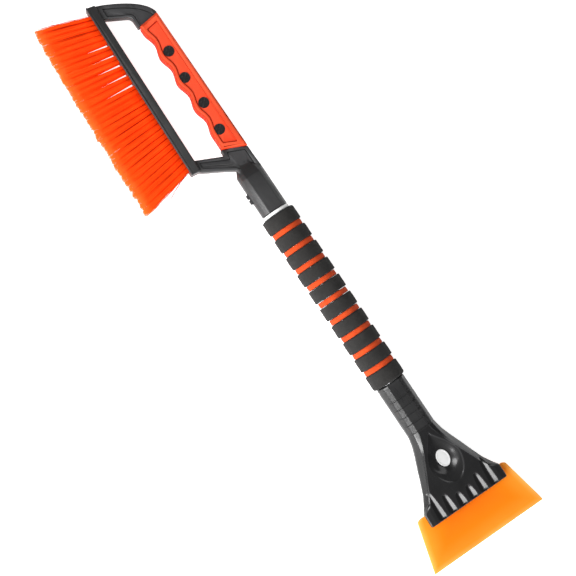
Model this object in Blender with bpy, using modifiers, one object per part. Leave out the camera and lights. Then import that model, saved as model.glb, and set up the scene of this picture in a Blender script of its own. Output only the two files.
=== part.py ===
"""Snow brush with an ice scraper, as separate parts.

The shaft runs along X: the brush head is at +X and the scraper blade at -X. The bristles point
to +Y and the front of the tool faces +Z. Places along the shaft are given as a distance from the
brush end of its centre line, in millimetres, growing towards the blade.
"""

import math

import bmesh
import bpy
from mathutils import Matrix, Vector

for old in list(bpy.data.objects):
    bpy.data.objects.remove(old, do_unlink=True)

MM = 0.001
GAP = 0.3  # clearance between pieces that meet

# ---- Driving dimensions, in millimetres ----
SHAFT_START = Vector((344.8, -21.6, 25.2))  # brush end of the centre line, from the origin
TUBE_R = 10.0
TUBE_WALL = 1.2
TUBE_BRUSH_END = 244.0
TUBE_BLADE_END = 545.0
SOCKET_MOUTH = 287.0
SOCKET_BOTTOM = 241.6
SOCKET_BORE_R = TUBE_R + GAP
FOAM_START = 291.0
FOAM_BLACK_R = 18.8
FOAM_ORANGE_R = 17.1
BLACK_RING = 14.85
FIRST_BLACK_RING = 16.3
LAST_BLACK_RING = 17.1
ORANGE_RING = 6.2
ORANGE_COUNT = 9

PLATE_HALF = 6.5  # half thickness of the brush head's arms
PANEL_DEPTH = 1.5
CORE_TOP_Y = -9.0  # the part of the arm inside the soft grip
CORE_LOW_Y = 5.0
BAR_HALF = 10.0

GRIP_HALF = 11.0
GRIP_PANEL_DEPTH = 0.8
WAVE_PITCH = 32.0  # finger hollows in the grip
WAVE_CREST = 90.5
WAVE_HEIGHT = 1.75
WAVE_MEAN_Y = 9.15
LAST_CREST = WAVE_CREST + 3 * WAVE_PITCH
FIRST_CREST = WAVE_CREST - WAVE_PITCH
STUD_R = 5.7
STUD_STEM_R = 2.0
STUD_PLACES = ((90.3, 0.5), (122.1, 2.1), (154.4, 0.1), (186.1, 1.9))

TUFT_COUNT = 16
TUFT_ROOT_FIRST = 20.0
TUFT_ROOT_PITCH = 12.0
TUFT_ROOT_HALF = (4.3, 7.3)  # along the bar, and across it
TUFT_TIP_HALF = (6.6, 16.0)
TUFT_TIP_START = -3.0  # the bristle tips fan out past both ends of the bar
TUFT_TIP_END = 219.0
TUFT_POCKET = 3.0

LOCK_AT = 263.25  # the catch, along the shaft
BUTTON_HALF = 3.2  # half of its height, front to back
PIN_R = 3.0
PIN_TIP_Y = 12.3
PIN_FOOT_Y = 0.0
SPRING_SEAT_Y = -6.5

BLADE_TILT = math.radians(10.8)
BLADE_AT = (636.0, -13.0)  # distance along the shaft and height of the blade's shoulder
BLADE_HALF = 1.5
BLADE_LENGTH = 57.3
BLADE_EDGE_HALF_WIDTH = 69.3
BLADE_SHOULDER_HALF_WIDTH = 56.0
TONGUE_HALF_WIDTH = (29.0, 42.5)  # at its inner end and at the blade's shoulder
SCREW_AT = (-12.0, 26.0)  # from the blade's shoulder, and to each side
LIP_END = 647.0

DISH_AT = (594.0, -1.0, 16.6)
DISH_RADII = (31.0, 20.5, 10.5)  # along the shaft, across it and deep
DISH_TILT = -0.19  # the head's front slopes down to the lip, and the dish with it
BADGE_AT = (593.0, -1.3, 6.0)
BADGE_HALF = (9.7, 6.7)
FLUTES = ((6.5, 632.0, 3.7), (19.5, 626.0, 4.7), (32.5, 616.0, 6.3))  # side, start, height there
FLUTE_FLOOR = -2.2  # their height at the lip

COLLECTION = bpy.data.collections.new("snow_brush_scraper")
CUTTERS = bpy.data.collections.new("cutters")
for made in (COLLECTION, CUTTERS):
    bpy.context.scene.collection.children.link(made)

SHAFT = bpy.data.objects.new("shaft_start", None)
SHAFT.location = SHAFT_START * MM
COLLECTION.objects.link(SHAFT)


# ---- Materials ----
def material(name, colour, roughness, metallic=0.0, alpha=1.0):
    made = bpy.data.materials.new(name)
    made.use_nodes = True
    shader = made.node_tree.nodes["Principled BSDF"]
    shader.inputs["Base Color"].default_value = (*colour, 1.0)
    shader.inputs["Roughness"].default_value = roughness
    shader.inputs["Metallic"].default_value = metallic
    shader.inputs["Alpha"].default_value = alpha
    made.diffuse_color = (*colour, alpha)
    return made


BLACK_PLASTIC = material("black_plastic", (0.05, 0.05, 0.055), 0.5)
BLACK_FOAM = material("black_foam", (0.03, 0.03, 0.032), 0.95)
ORANGE_FOAM = material("orange_foam", (0.9, 0.16, 0.03), 0.9)
GRIP_RUBBER = material("grip_rubber", (0.86, 0.15, 0.05), 0.6)
STUD_RUBBER = material("stud_rubber", (0.03, 0.03, 0.03), 0.8)
BRISTLE = material("bristle", (0.95, 0.2, 0.02), 0.6)
BLADE_PLASTIC = material("blade_plastic", (1.0, 0.35, 0.03), 0.25)
WHITE_PLASTIC = material("white_plastic", (0.9, 0.9, 0.9), 0.4)
TUBE_METAL = material("tube_metal", (0.6, 0.6, 0.62), 0.35, metallic=1.0)
STEEL = material("steel", (0.55, 0.55, 0.57), 0.3, metallic=1.0)


# ---- Modelling helpers: sizes come in as millimetres ----
def at(distance, y=0.0, z=0.0):
    """A point in the shaft's frame, in metres."""
    return Vector((-distance, y, z)) * MM


def add(name, mesh, look=None, location=(0.0, 0.0, 0.0), cutter=False):
    made = bpy.data.objects.new(name, mesh)
    (CUTTERS if cutter else COLLECTION).objects.link(made)
    made.parent = SHAFT
    made.location = location
    if look:
        mesh.materials.append(look)
    if cutter:
        made.hide_render = True
        made.display_type = "WIRE"
    return made


def mesh_of(name, bm):
    bmesh.ops.recalc_face_normals(bm, faces=bm.faces)
    mesh = bpy.data.meshes.new(name)
    bm.to_mesh(mesh)
    bm.free()
    return mesh


def smooth(made, degrees=35):
    made.data.shade_smooth()
    made.data.set_sharp_from_angle(angle=math.radians(degrees))
    return made


def box(name, distance, y, z, look=None, cutter=True):
    """A box from three (low, high) pairs."""
    bm = bmesh.new()
    size = [high - low for low, high in (distance, y, z)]
    middle = [(low + high) / 2 for low, high in (distance, y, z)]
    bmesh.ops.create_cube(bm, size=1.0)
    bmesh.ops.scale(bm, vec=Vector(size) * MM, verts=bm.verts)
    bmesh.ops.translate(bm, vec=at(*middle), verts=bm.verts)
    return add(name, mesh_of(name, bm), look, cutter=cutter)


AXIS_TURN = {
    "X": Matrix.Rotation(math.radians(90), 4, "Y"),
    "Y": Matrix.Rotation(math.radians(-90), 4, "X"),
    "Z": Matrix.Identity(4),
}


def cylinders(name, places, radii, length, axis, segments):
    """Cutting cylinders of one size, at places in the shaft's frame; radii may be an ellipse's."""
    bm = bmesh.new()
    stretch = Matrix.Diagonal((radii[0] * MM, radii[1] * MM, length * MM, 1.0))
    for place in places:
        bmesh.ops.create_cone(
            bm,
            cap_ends=True,
            segments=segments,
            radius1=1.0,
            radius2=1.0,
            depth=1.0,
            matrix=Matrix.Translation(place) @ AXIS_TURN[axis] @ stretch,
        )
    return add(name, mesh_of(name, bm), cutter=True)


def outline(name, loops, half_depth, look=None, cutter=False, height=0.0):
    """A flat outline seen from the front, with holes, of the given half thickness."""
    curve = bpy.data.curves.new(name, "CURVE")
    curve.dimensions = "2D"
    curve.fill_mode = "BOTH"
    curve.extrude = half_depth * MM
    for loop in loops:
        spline = curve.splines.new("POLY")
        spline.points.add(len(loop) - 1)
        for point, (distance, y) in zip(spline.points, loop):
            point.co = (-distance * MM, y * MM, 0.0, 1.0)
        spline.use_cyclic_u = True
    drawn = bpy.data.objects.new(name + "_curve", curve)
    CUTTERS.objects.link(drawn)
    evaluated = drawn.evaluated_get(bpy.context.evaluated_depsgraph_get())
    bm = bmesh.new()
    bm.from_mesh(bpy.data.meshes.new_from_object(evaluated))
    bpy.data.objects.remove(drawn, do_unlink=True)
    bmesh.ops.remove_doubles(bm, verts=bm.verts, dist=1e-6)
    bmesh.ops.dissolve_limit(bm, angle_limit=0.01, verts=bm.verts, edges=bm.edges)
    return add(name, mesh_of(name, bm), look, at(0.0, 0.0, height), cutter)


def loft(name, stations, look=None, cutter=False):
    """A skin through unlike sections; each station is a distance and its (y, z) points."""
    bm = bmesh.new()
    rings = [[bm.verts.new(at(distance, y, z)) for y, z in points] for distance, points in stations]
    for near, far in zip(rings, rings[1:]):
        for i in range(len(near)):
            j = (i + 1) % len(near)
            bm.faces.new((near[i], near[j], far[j], far[i]))
    bm.faces.new(rings[0])
    bm.faces.new(rings[-1])
    return add(name, mesh_of(name, bm), look, cutter=cutter)


def turned(name, profile, look, start, axis="X", segments=24, y=0.0, z=0.0, closed=True):
    """A turned piece. The profile is (radius, height) down the outer side, then up the inner one;
    height grows towards the blade for axis X, and with the axis for Y and Z."""
    mesh = bpy.data.meshes.new(name)
    count = len(profile)
    edges = [(i, (i + 1) % count) for i in range(count if closed else count - 1)]
    mesh.from_pydata([(r * MM, 0.0, h * MM) for r, h in profile], edges, [])
    made = add(name, mesh, look, at(start, y, z))
    made.rotation_euler = {"X": (0, -math.pi / 2, 0), "Y": (-math.pi / 2, 0, 0), "Z": (0, 0, 0)}[axis]
    screw = made.modifiers.new("Turn", "SCREW")
    screw.steps = segments
    screw.render_steps = segments
    screw.use_merge_vertices = True
    screw.merge_threshold = 1e-5
    return made


def boolean(target, other, operation="DIFFERENCE"):
    modifier = target.modifiers.new(other.name, "BOOLEAN")
    modifier.object = other
    modifier.operation = operation
    modifier.solver = "EXACT"


def bevel(target, width, segments=1, degrees=40):
    modifier = target.modifiers.new("Rounded edges", "BEVEL")
    modifier.width = width * MM
    modifier.segments = segments
    modifier.limit_method = "ANGLE"
    modifier.angle_limit = math.radians(degrees)


def bezier(p0, p1, p2, p3, steps):
    points = []
    for i in range(steps + 1):
        t = i / steps
        weights = ((1 - t) ** 3, 3 * t * (1 - t) ** 2, 3 * t * t * (1 - t), t**3)
        points.append(tuple(sum(w * p[k] for w, p in zip(weights, (p0, p1, p2, p3))) for k in (0, 1)))
    return points


def wave(mean, height, steps=8):
    """The grip's finger line from its first crest to its last."""
    count = steps * round((LAST_CREST - FIRST_CREST) / WAVE_PITCH)
    points = []
    for i in range(count + 1):
        distance = FIRST_CREST + (LAST_CREST - FIRST_CREST) * i / count
        turn = 2 * math.pi * (distance - WAVE_CREST) / WAVE_PITCH
        points.append((distance, mean + height * math.cos(turn)))
    return points


# ---- Brush head: arms, bar and socket are one moulding ----
def bar_low_y(distance):
    """The bar's bristle face, which slopes a little along the bar."""
    return 47.7 + (distance - 8.3) * 4.3 / 201.6


def frame_plate():
    outer = [(11.5, 44.0), (9.9, 37.2)]
    outer += bezier((12.3, 31.2), (22.0, 10.0), (34.0, -9.0), (47.4, -12.3), 8)
    outer += [(228.0, -13.6), (240.0, -14.2), (240.0, 9.5), (231.0, 10.6), (224.5, 21.0)]
    outer += [(213.6, 41.0), (209.0, 47.0)]
    hole = [(25.5, 40.5), (27.0, 35.5)]
    hole += bezier((36.5, 17.7), (38.3, 14.4), (39.6, 13.1), (44.0, 13.0), 4)
    hole += [(209.6, 12.8), (211.2, 14.0), (198.0, 43.0)]
    plate = outline("brush_frame", [outer, hole], PLATE_HALF, BLACK_PLASTIC)
    bevel(plate, 0.9)
    above = [(49.4, CORE_TOP_Y), (48.2, -18.0), (217.8, -18.0), (213.9, CORE_TOP_Y)]
    below = [(51.35, CORE_LOW_Y), (52.65, 14.0), (204.2, 14.0), (207.9, CORE_LOW_Y)]
    boolean(plate, outline("grip_seat", [above, below], 2 * PLATE_HALF, cutter=True))
    return plate


def panel_loops():
    """The sunk panels in the two arms."""
    left = bezier((15.8, 33.5), (25.5, 12.5), (36.5, -4.5), (50.0, -8.8), 6)
    left += [(54.0, -8.8), (54.0, 9.9), (40.5, 9.9)]
    left += bezier((40.0, 10.0), (37.6, 10.4), (36.6, 12.4), (35.0, 15.4), 3)[1:]
    left += [(25.7, 33.5)]
    right = [(216.8, -9.6), (230.5, -9.7), (231.4, 2.9), (228.0, 9.7), (210.6, 38.6)]
    right += [(203.3, 38.2), (217.0, 10.0), (209.2, 8.4)]
    return left, right


def socket_section(half_width, half_height):
    """A flat-fronted round section: wide flats in front and behind, bevels, then round sides."""
    corner = [(0.513, 1.0), (0.793, 0.70), (0.953, 0.36), (1.0, 0.0)]
    right = corner + [(y, -z) for y, z in reversed(corner[:-1])]
    left = [(-y, z) for y, z in reversed(right)]
    return [(y * half_width, z * half_height) for y, z in right + left]


def brush_frame():
    plate = frame_plate()
    for side, height in (("front", PLATE_HALF), ("back", -PLATE_HALF)):
        for end, loop in zip(("end", "neck"), panel_loops()):
            panel = outline(f"{end}_panel_{side}", [loop], PANEL_DEPTH, cutter=True, height=height)
            boolean(plate, panel)
    bar_loop = [(9.2, 37.8), (211.3, 41.6), (209.9, 52.0), (7.0, bar_low_y(7.0))]
    bar = outline("bar", [bar_loop], BAR_HALF, cutter=True)
    bevel(bar, 1.0)
    boolean(plate, bar, "UNION")
    sections = [(226.0, 9.0, 4.0), (231.0, 10.8, 5.6), (238.5, 15.0, 10.0), (244.5, 15.0, 13.0)]
    sections += [(SOCKET_MOUTH - 1.2, 15.0, 13.0), (SOCKET_MOUTH, 14.2, 12.2)]
    socket = loft("socket", [(s, socket_section(w, h)) for s, w, h in sections], cutter=True)
    boolean(plate, socket, "UNION")
    cut_socket(plate)
    roots = [at(s, bar_low_y(s), 0.0) for s in tuft_roots()]
    pocket_radii = [half + GAP for half in TUFT_ROOT_HALF]
    boolean(plate, cylinders("tuft_pockets", roots, pocket_radii, 2 * TUFT_POCKET, "Y", 12))
    stems = [at(s, y, 0.0) for s, y in STUD_PLACES]
    boolean(plate, cylinders("stud_holes", stems, [STUD_STEM_R + GAP] * 2, 30.0, "Z", 10))
    return smooth(plate)


def cut_socket(plate):
    """The bore for the tube, the window for the button and the groove for the lock pin."""
    middle = (SOCKET_BOTTOM + SOCKET_MOUTH + 10.0) / 2
    length = SOCKET_MOUTH + 10.0 - SOCKET_BOTTOM
    bore = cylinders("bore", [at(middle)], [SOCKET_BORE_R] * 2, length, "X", 32)
    boolean(plate, bore)
    boolean(plate, box("button_pocket", (254.0, 272.5), (6.0, 13.6), (-3.7, 3.7)))
    boolean(plate, box("pin_groove", (270.0, SOCKET_MOUTH + 3.0), (6.0, 12.8), (-3.4, 3.4)))
    boolean(plate, box("button_window", (257.1, 269.4), (12.0, 20.0), (-3.6, 3.6)))


def grip_sleeve():
    """The soft grip, moulded round the arm between its two slanted ends."""
    loop = [(49.3, -11.9), (52.7, 10.9)]
    loop += wave(WAVE_MEAN_Y, WAVE_HEIGHT)
    loop += [(204.9, 10.9), (215.5, -13.4)]
    sleeve = outline("grip_sleeve", [loop], GRIP_HALF, GRIP_RUBBER)
    bevel(sleeve, 2.2, segments=2)
    core = ((40.0, 225.0), (CORE_TOP_Y - GAP, CORE_LOW_Y + GAP), (-PLATE_HALF - GAP, PLATE_HALF + GAP))
    boolean(sleeve, box("grip_core_room", *core))
    panel = [(57.0, -6.8), (59.0, 6.8)]
    panel += [point for point in wave(5.6, 1.5) if point[0] > 60.0]
    panel += [(200.5, 7.1), (206.8, -6.8)]
    for side, height in (("front", GRIP_HALF), ("back", -GRIP_HALF)):
        boolean(sleeve, outline(f"grip_panel_{side}", [panel], GRIP_PANEL_DEPTH, cutter=True, height=height))
    windows = [at(s, y, 0.0) for s, y in STUD_PLACES]
    boolean(sleeve, cylinders("stud_windows", windows, [STUD_R + GAP] * 2, 40.0, "Z", 20))
    return smooth(sleeve)


def grip_studs():
    """Round rubber studs, pressed into the arm from both faces."""
    foot, seat, top = 2.0, PLATE_HALF + GAP, GRIP_HALF - 0.3
    profile = [(0.0, top), (STUD_R - 0.8, top), (STUD_R, top - 0.6), (STUD_R, seat)]
    profile += [(STUD_STEM_R, seat), (STUD_STEM_R, foot), (0.0, foot)]
    for side, flip in (("front", 0.0), ("back", math.pi)):
        for i, (s, y) in enumerate(STUD_PLACES):
            name = f"grip_stud_{side}_{i + 1}"
            stud = turned(name, profile, STUD_RUBBER, s, "Z", 20, y=y, closed=False)
            stud.rotation_euler = (flip, 0.0, 0.0)
            smooth(stud)


def tuft_roots():
    return [TUFT_ROOT_FIRST + TUFT_ROOT_PITCH * i for i in range(TUFT_COUNT)]


def tuft_tip_y(distance):
    """How far the bristles reach: a shallow bow, longer at the shaft's end."""
    t = distance / 220.0
    return 104.6 + 12.6 * t - 4.6 * t * t


def bristle_tufts():
    """One closed solid for each row of bristles across the bar."""
    turn = [2 * math.pi * k / 12 for k in range(12)]
    tip_pitch = (TUFT_TIP_END - TUFT_TIP_START) / TUFT_COUNT
    for i, root in enumerate(tuft_roots()):
        tip = TUFT_TIP_START + tip_pitch * (i + 0.5)
        face = bar_low_y(root)
        levels = [
            (root, face - TUFT_POCKET + 0.5, TUFT_ROOT_HALF),
            (root, face + 1.0, TUFT_ROOT_HALF),
            (tip, tuft_tip_y(tip), TUFT_TIP_HALF),
        ]
        bm = bmesh.new()
        rings = []
        for middle, y, (along, across) in levels:
            ring = [at(middle + along * math.cos(a), y, across * math.sin(a)) for a in turn]
            rings.append([bm.verts.new(point) for point in ring])
        for low, high in zip(rings, rings[1:]):
            for k in range(12):
                j = (k + 1) % 12
                bm.faces.new((low[k], low[j], high[j], high[k]))
        bm.faces.new(rings[0])
        bm.faces.new(rings[-1])
        name = f"bristle_tuft_{i + 1:02d}"
        smooth(add(name, mesh_of(name, bm), BRISTLE))


def release_button():
    """A ribbed push button in the socket's side, held in by a foot at each end."""
    across = (-BUTTON_HALF, BUTTON_HALF)
    button = box("release_button", (257.5, 269.0), (12.65, 15.5), across, BLACK_PLASTIC, cutter=False)
    boolean(button, box("button_foot", (254.6, 271.9), (12.65, 13.3), across), "UNION")
    for i, place in enumerate(((258.0, 262.5), (264.0, 268.5))):
        boolean(button, box(f"button_rib_{i + 1}", place, (15.0, 17.0), (-2.6, 2.6)), "UNION")
    return button


# ---- Shaft and its catch ----
def handle_tube():
    inner = TUBE_R - TUBE_WALL
    length = TUBE_BLADE_END - TUBE_BRUSH_END
    profile = [(TUBE_R, length), (TUBE_R, 0.0), (inner, 0.0), (inner, length)]
    tube = turned("handle_tube", profile, TUBE_METAL, TUBE_BRUSH_END, segments=32)
    hole = cylinders("pin_hole", [at(LOCK_AT, TUBE_R)], [PIN_R + GAP] * 2, 8.0, "Y", 16)
    boolean(tube, hole)
    return smooth(tube)


def tube_plug():
    """Closes the tube's brush end and holds the lock pin and its spring."""
    body = TUBE_R - TUBE_WALL - GAP
    length = 34.0
    profile = [(0.0, length), (body, length), (body, 1.8), (TUBE_R, 1.5), (TUBE_R, 0.3), (TUBE_R - 0.6, 0.0)]
    plug = turned("tube_plug", profile + [(0.0, 0.0)], BLACK_PLASTIC, TUBE_BRUSH_END - 1.8, closed=False)
    depth = 20.0 - SPRING_SEAT_Y
    middle = at(LOCK_AT, SPRING_SEAT_Y + depth / 2)
    boolean(plug, cylinders("spring_bore", [middle], [PIN_R + GAP] * 2, depth, "Y", 16))
    return smooth(plug)


def lock_pin():
    tip = PIN_TIP_Y - PIN_FOOT_Y
    profile = [(0.0, tip), (1.7, tip - 0.35), (PIN_R, tip - 1.6), (PIN_R, 0.0), (0.0, 0.0)]
    pin = turned("lock_pin", profile, STEEL, LOCK_AT, "Y", 16, y=PIN_FOOT_Y, closed=False)
    return smooth(pin)


def lock_spring():
    """A compression spring between the plug's bore and the pin's foot."""
    wire, radius, turns, steps = 0.3, 2.3, 4, 10
    low = SPRING_SEAT_Y + wire + 0.15
    high = PIN_FOOT_Y - wire - 0.15
    curve = bpy.data.curves.new("lock_spring", "CURVE")
    curve.dimensions = "3D"
    curve.bevel_depth = wire * MM
    curve.bevel_resolution = 2
    curve.use_fill_caps = True
    spline = curve.splines.new("POLY")
    spline.points.add(turns * steps)
    for i, point in enumerate(spline.points):
        angle = 2 * math.pi * i / steps
        y = low + (high - low) * i / (turns * steps)
        place = at(LOCK_AT + radius * math.cos(angle), y, radius * math.sin(angle))
        point.co = (*place, 1.0)
    curve.materials.append(STEEL)
    spring = bpy.data.objects.new("lock_spring", curve)
    COLLECTION.objects.link(spring)
    spring.parent = SHAFT
    return spring


def stop_collar():
    """The pale spacer between the socket's mouth and the foam."""
    width = FOAM_START - SOCKET_MOUTH - 2 * GAP
    outer, inner = 15.0, TUBE_R + GAP
    profile = [(outer - 0.5, width), (outer, width - 0.5), (outer, 0.5), (outer - 0.5, 0.0)]
    profile += [(inner, 0.0), (inner, width)]
    return smooth(turned("stop_collar", profile, WHITE_PLASTIC, SOCKET_MOUTH + GAP, segments=28))


def foam_ring(name, start, width, radius, look, near_round=0.8, far_round=0.8):
    inner = TUBE_R + GAP
    length = width - GAP
    profile = [(radius - far_round, length), (radius, length - far_round)]
    profile += [(radius, near_round), (radius - near_round, 0.0)]
    profile += [(inner, 0.0), (inner, length)]
    smooth(turned(name, profile, look, start, segments=20))


def foam_grip():
    """Black and orange foam rings, pushed onto the tube one after another."""
    start = FOAM_START
    end_round = 2.4
    for i in range(ORANGE_COUNT + 1):
        first, last = i == 0, i == ORANGE_COUNT
        width = FIRST_BLACK_RING if first else LAST_BLACK_RING if last else BLACK_RING
        rounds = (end_round if first else 0.8, end_round if last else 0.8)
        foam_ring(f"foam_ring_black_{i + 1:02d}", start, width, FOAM_BLACK_R, BLACK_FOAM, *rounds)
        start += width
        if not last:
            foam_ring(f"foam_ring_orange_{i + 1:02d}", start, ORANGE_RING, FOAM_ORANGE_R, ORANGE_FOAM)
            start += ORANGE_RING


# ---- Scraper ----
def scraper_section(half, flat, top, shoulder, low, bottom, shrink=0.0):
    """One section of the scraper's body: a front flat, a sloping shoulder, a side and a back."""
    corner_y = flat + (half - flat) * 0.55
    corner_z = shoulder + (top - shoulder) * 0.72
    back_half = half - 0.25 * (-4.0 - low)
    back_y = back_half - (back_half - flat) * 0.45
    back_z = low + (bottom - low) * 0.72
    right = [(flat, top - shrink), (corner_y - shrink, corner_z - shrink), (half - shrink, shoulder)]
    right += [(back_half - shrink, low), (back_y - shrink, back_z + shrink)]
    right += [(flat, bottom + shrink)]
    return right + [(-y, z) for y, z in reversed(right)]


def neck_stations():
    """The round-cornered neck, with five shallow finger grooves."""
    neck = (16.0, 6.65, 15.0, 4.0, -4.0, -15.0)
    stations = [(499.4, scraper_section(*neck, shrink=0.9)), (500.4, scraper_section(*neck))]
    for i in range(5):
        groove = 517.5 + 9.5 * i
        for offset, shrink in ((-0.9, 0.0), (-0.4, 0.55), (0.4, 0.55), (0.9, 0.0)):
            stations.append((groove + offset, scraper_section(*neck, shrink=shrink)))
    return stations


def head_stations():
    rows = [
        (560.0, 16.7, 7.2, 14.9, 3.8, -4.5, -15.0),
        (568.0, 18.6, 9.5, 14.4, 3.0, -5.5, -15.0),
        (578.0, 22.3, 13.5, 13.3, 2.0, -7.0, -15.1),
        (590.0, 27.3, 19.0, 11.3, 1.0, -8.5, -15.3),
        (603.0, 32.3, 25.0, 8.9, 0.0, -10.0, -15.8),
        (616.0, 37.7, 31.0, 6.3, -1.0, -11.5, -16.8),
        (625.0, 43.0, 36.0, 4.8, -1.5, -12.5, -17.6),
        (632.0, 47.8, 40.5, 3.7, -1.8, -13.2, -18.2),
        (LIP_END, 47.8, 41.2, 1.6, -2.5, -14.5, -19.5),
    ]
    return [(row[0], scraper_section(*row[1:])) for row in rows]


def blade_slot_loop(margin, reach):
    """The blade's tongue in the head, opening to both sides at the shoulder."""
    inner, outer = (half + margin for half in TONGUE_HALF_WIDTH)
    right = [(-22.4 - margin, inner), (-1.8 - margin, outer), (-1.8 - margin, 62.0), (reach, 62.0)]
    return right + [(d, -y) for d, y in reversed(right)]


def tilt_on_blade(made):
    made.location = at(BLADE_AT[0], 0.0, BLADE_AT[1])
    made.rotation_euler = (0.0, -BLADE_TILT, 0.0)
    return made


def flutes():
    """Six V grooves that deepen to the lip and leave the ice-breaking teeth between them."""
    bm = bmesh.new()
    edge, behind, past = 14.0, 5.0, 15.0
    quarter = Matrix.Rotation(math.radians(45), 4, "X")
    for y, start, height in FLUTES:
        slope = math.atan2(height - FLUTE_FLOOR, LIP_END - start)
        ramp = Matrix.Rotation(-slope, 4, "Y")
        length = LIP_END - start + behind + past
        lift = Matrix.Translation(at(length / 2 - behind, 0.0, edge / math.sqrt(2)))
        size = Matrix.Diagonal((length * MM, edge * MM, edge * MM, 1.0))
        for side in (-1, 1):
            place = Matrix.Translation(at(start, side * y, height))
            bmesh.ops.create_cube(bm, size=1.0, matrix=place @ ramp @ lift @ quarter @ size)
    return add("flutes", mesh_of("flutes", bm), cutter=True)


def dish():
    """The hollow in the head's front, round the oval badge."""
    bm = bmesh.new()
    place = Matrix.Translation(at(*DISH_AT)) @ Matrix.Rotation(DISH_TILT, 4, "Y")
    size = Matrix.Diagonal((*(radius * MM for radius in DISH_RADII), 1.0))
    bmesh.ops.create_uvsphere(bm, u_segments=20, v_segments=10, radius=1.0, matrix=place @ size)
    return add("dish", mesh_of("dish", bm), cutter=True)


def badge_disc(name, room, thickness, height, look=None):
    """An oval disc lying in the dish; room is how far it reaches past the badge's outline."""
    bm = bmesh.new()
    size = Matrix.Diagonal((*((half + room) * MM for half in BADGE_HALF), thickness * MM, 1.0))
    lift = Matrix.Translation((0.0, 0.0, height * MM))
    bmesh.ops.create_cone(
        bm, cap_ends=True, segments=24, radius1=1.0, radius2=1.0, depth=1.0, matrix=lift @ size
    )
    made = add(name, mesh_of(name, bm), look, at(*BADGE_AT), cutter=look is None)
    made.rotation_euler = (0.0, DISH_TILT, 0.0)
    return made


def scraper_body():
    body = loft("scraper_body", neck_stations() + head_stations(), BLACK_PLASTIC)
    boolean(body, dish())
    boolean(body, badge_disc("badge_seat", GAP, 10.0, 5.0 - GAP))
    boolean(body, flutes())
    slot = outline("blade_slot", [blade_slot_loop(0.4, 16.0)], BLADE_HALF + 0.35, cutter=True)
    boolean(body, tilt_on_blade(slot))
    middle = (490.0 + TUBE_BLADE_END + GAP) / 2
    bore = cylinders("neck_bore", [at(middle)], [TUBE_R + GAP] * 2, TUBE_BLADE_END + GAP - 490.0, "X", 32)
    boolean(body, bore)
    for name, radius, low, high in (("screw_holes", 2.0, -12.0, 7.0), ("screw_seats", 4.0, -12.0, -4.1)):
        boolean(body, screw_cylinders(name, radius, low, high))
    return smooth(body)


def screw_cylinders(name, radius, low, high):
    """Holes across the blade, between two heights above its middle plane."""
    places = [at(SCREW_AT[0], side * SCREW_AT[1], (low + high) / 2) for side in (-1, 1)]
    return tilt_on_blade(cylinders(name, places, [radius] * 2, high - low, "Z", 14))


def scraper_blade():
    half, edge = BLADE_SHOULDER_HALF_WIDTH, BLADE_EDGE_HALF_WIDTH
    inner, outer = TONGUE_HALF_WIDTH
    right = [(-22.4, inner), (-1.8, outer), (-1.8, half - 2.2), (1.2, half), (BLADE_LENGTH, edge)]
    loop = right + [(d, -y) for d, y in reversed(right)]
    blade = tilt_on_blade(outline("scraper_blade", [loop], BLADE_HALF, BLADE_PLASTIC))
    boolean(blade, edge_bevel())
    boolean(blade, screw_cylinders("blade_holes", 2.0, -6.0, 6.0))
    return smooth(blade, 20)


def edge_bevel():
    """Cuts the blade's front down to a thin edge over its last few millimetres."""
    band, slope, size = 8.0, math.radians(14.0), 30.0
    bm = bmesh.new()
    start = Matrix.Translation(at(BLADE_LENGTH - band, 0.0, BLADE_HALF))
    turn = Matrix.Rotation(-slope, 4, "Y")
    shift = Matrix.Translation(at(size / 2, 0.0, size / 2))
    stretch = Matrix.Diagonal((size * MM, 200.0 * MM, size * MM, 1.0))
    bmesh.ops.create_cube(bm, size=1.0, matrix=start @ turn @ shift @ stretch)
    return tilt_on_blade(add("edge_bevel", mesh_of("edge_bevel", bm), cutter=True))


def blade_screws():
    """Two screws from the back that clamp the blade in its slot."""
    head, shank, tip = -4.4, 1.6, 6.2
    profile = [(0.0, tip), (shank - 0.5, tip), (shank, tip - 1.0), (shank, head)]
    profile += [(3.5, head), (3.5, head - 1.8), (0.0, head - 1.8)]
    for number, side in ((1, -1), (2, 1)):
        screw = turned(f"blade_screw_{number}", profile, STEEL, 0.0, "Z", 14, closed=False)
        offset = Matrix.Rotation(-BLADE_TILT, 4, "Y") @ at(SCREW_AT[0], side * SCREW_AT[1])
        screw.location = at(BLADE_AT[0], 0.0, BLADE_AT[1]) + offset
        screw.rotation_euler = (0.0, -BLADE_TILT, 0.0)
        smooth(screw)


def badge():
    made = badge_disc("badge", 0.0, 1.6, 0.8, WHITE_PLASTIC)
    bevel(made, 0.4)
    return smooth(made)


brush_frame()
grip_sleeve()
grip_studs()
bristle_tufts()
release_button()
handle_tube()
tube_plug()
lock_pin()
lock_spring()
stop_collar()
foam_grip()
scraper_body()
scraper_blade()
blade_screws()
badge()
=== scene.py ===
"""The looks of the snow brush with an ice scraper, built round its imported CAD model.

Places are given as the CAD gives them: (distance, y, height) in millimetres from the brush end of
the shaft's centre line. Distance grows towards the blade, y towards the bristles and height
towards the front of the tool.
"""

import math

import bmesh
import bpy
import numpy as np
from mathutils import Matrix, Vector


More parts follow.
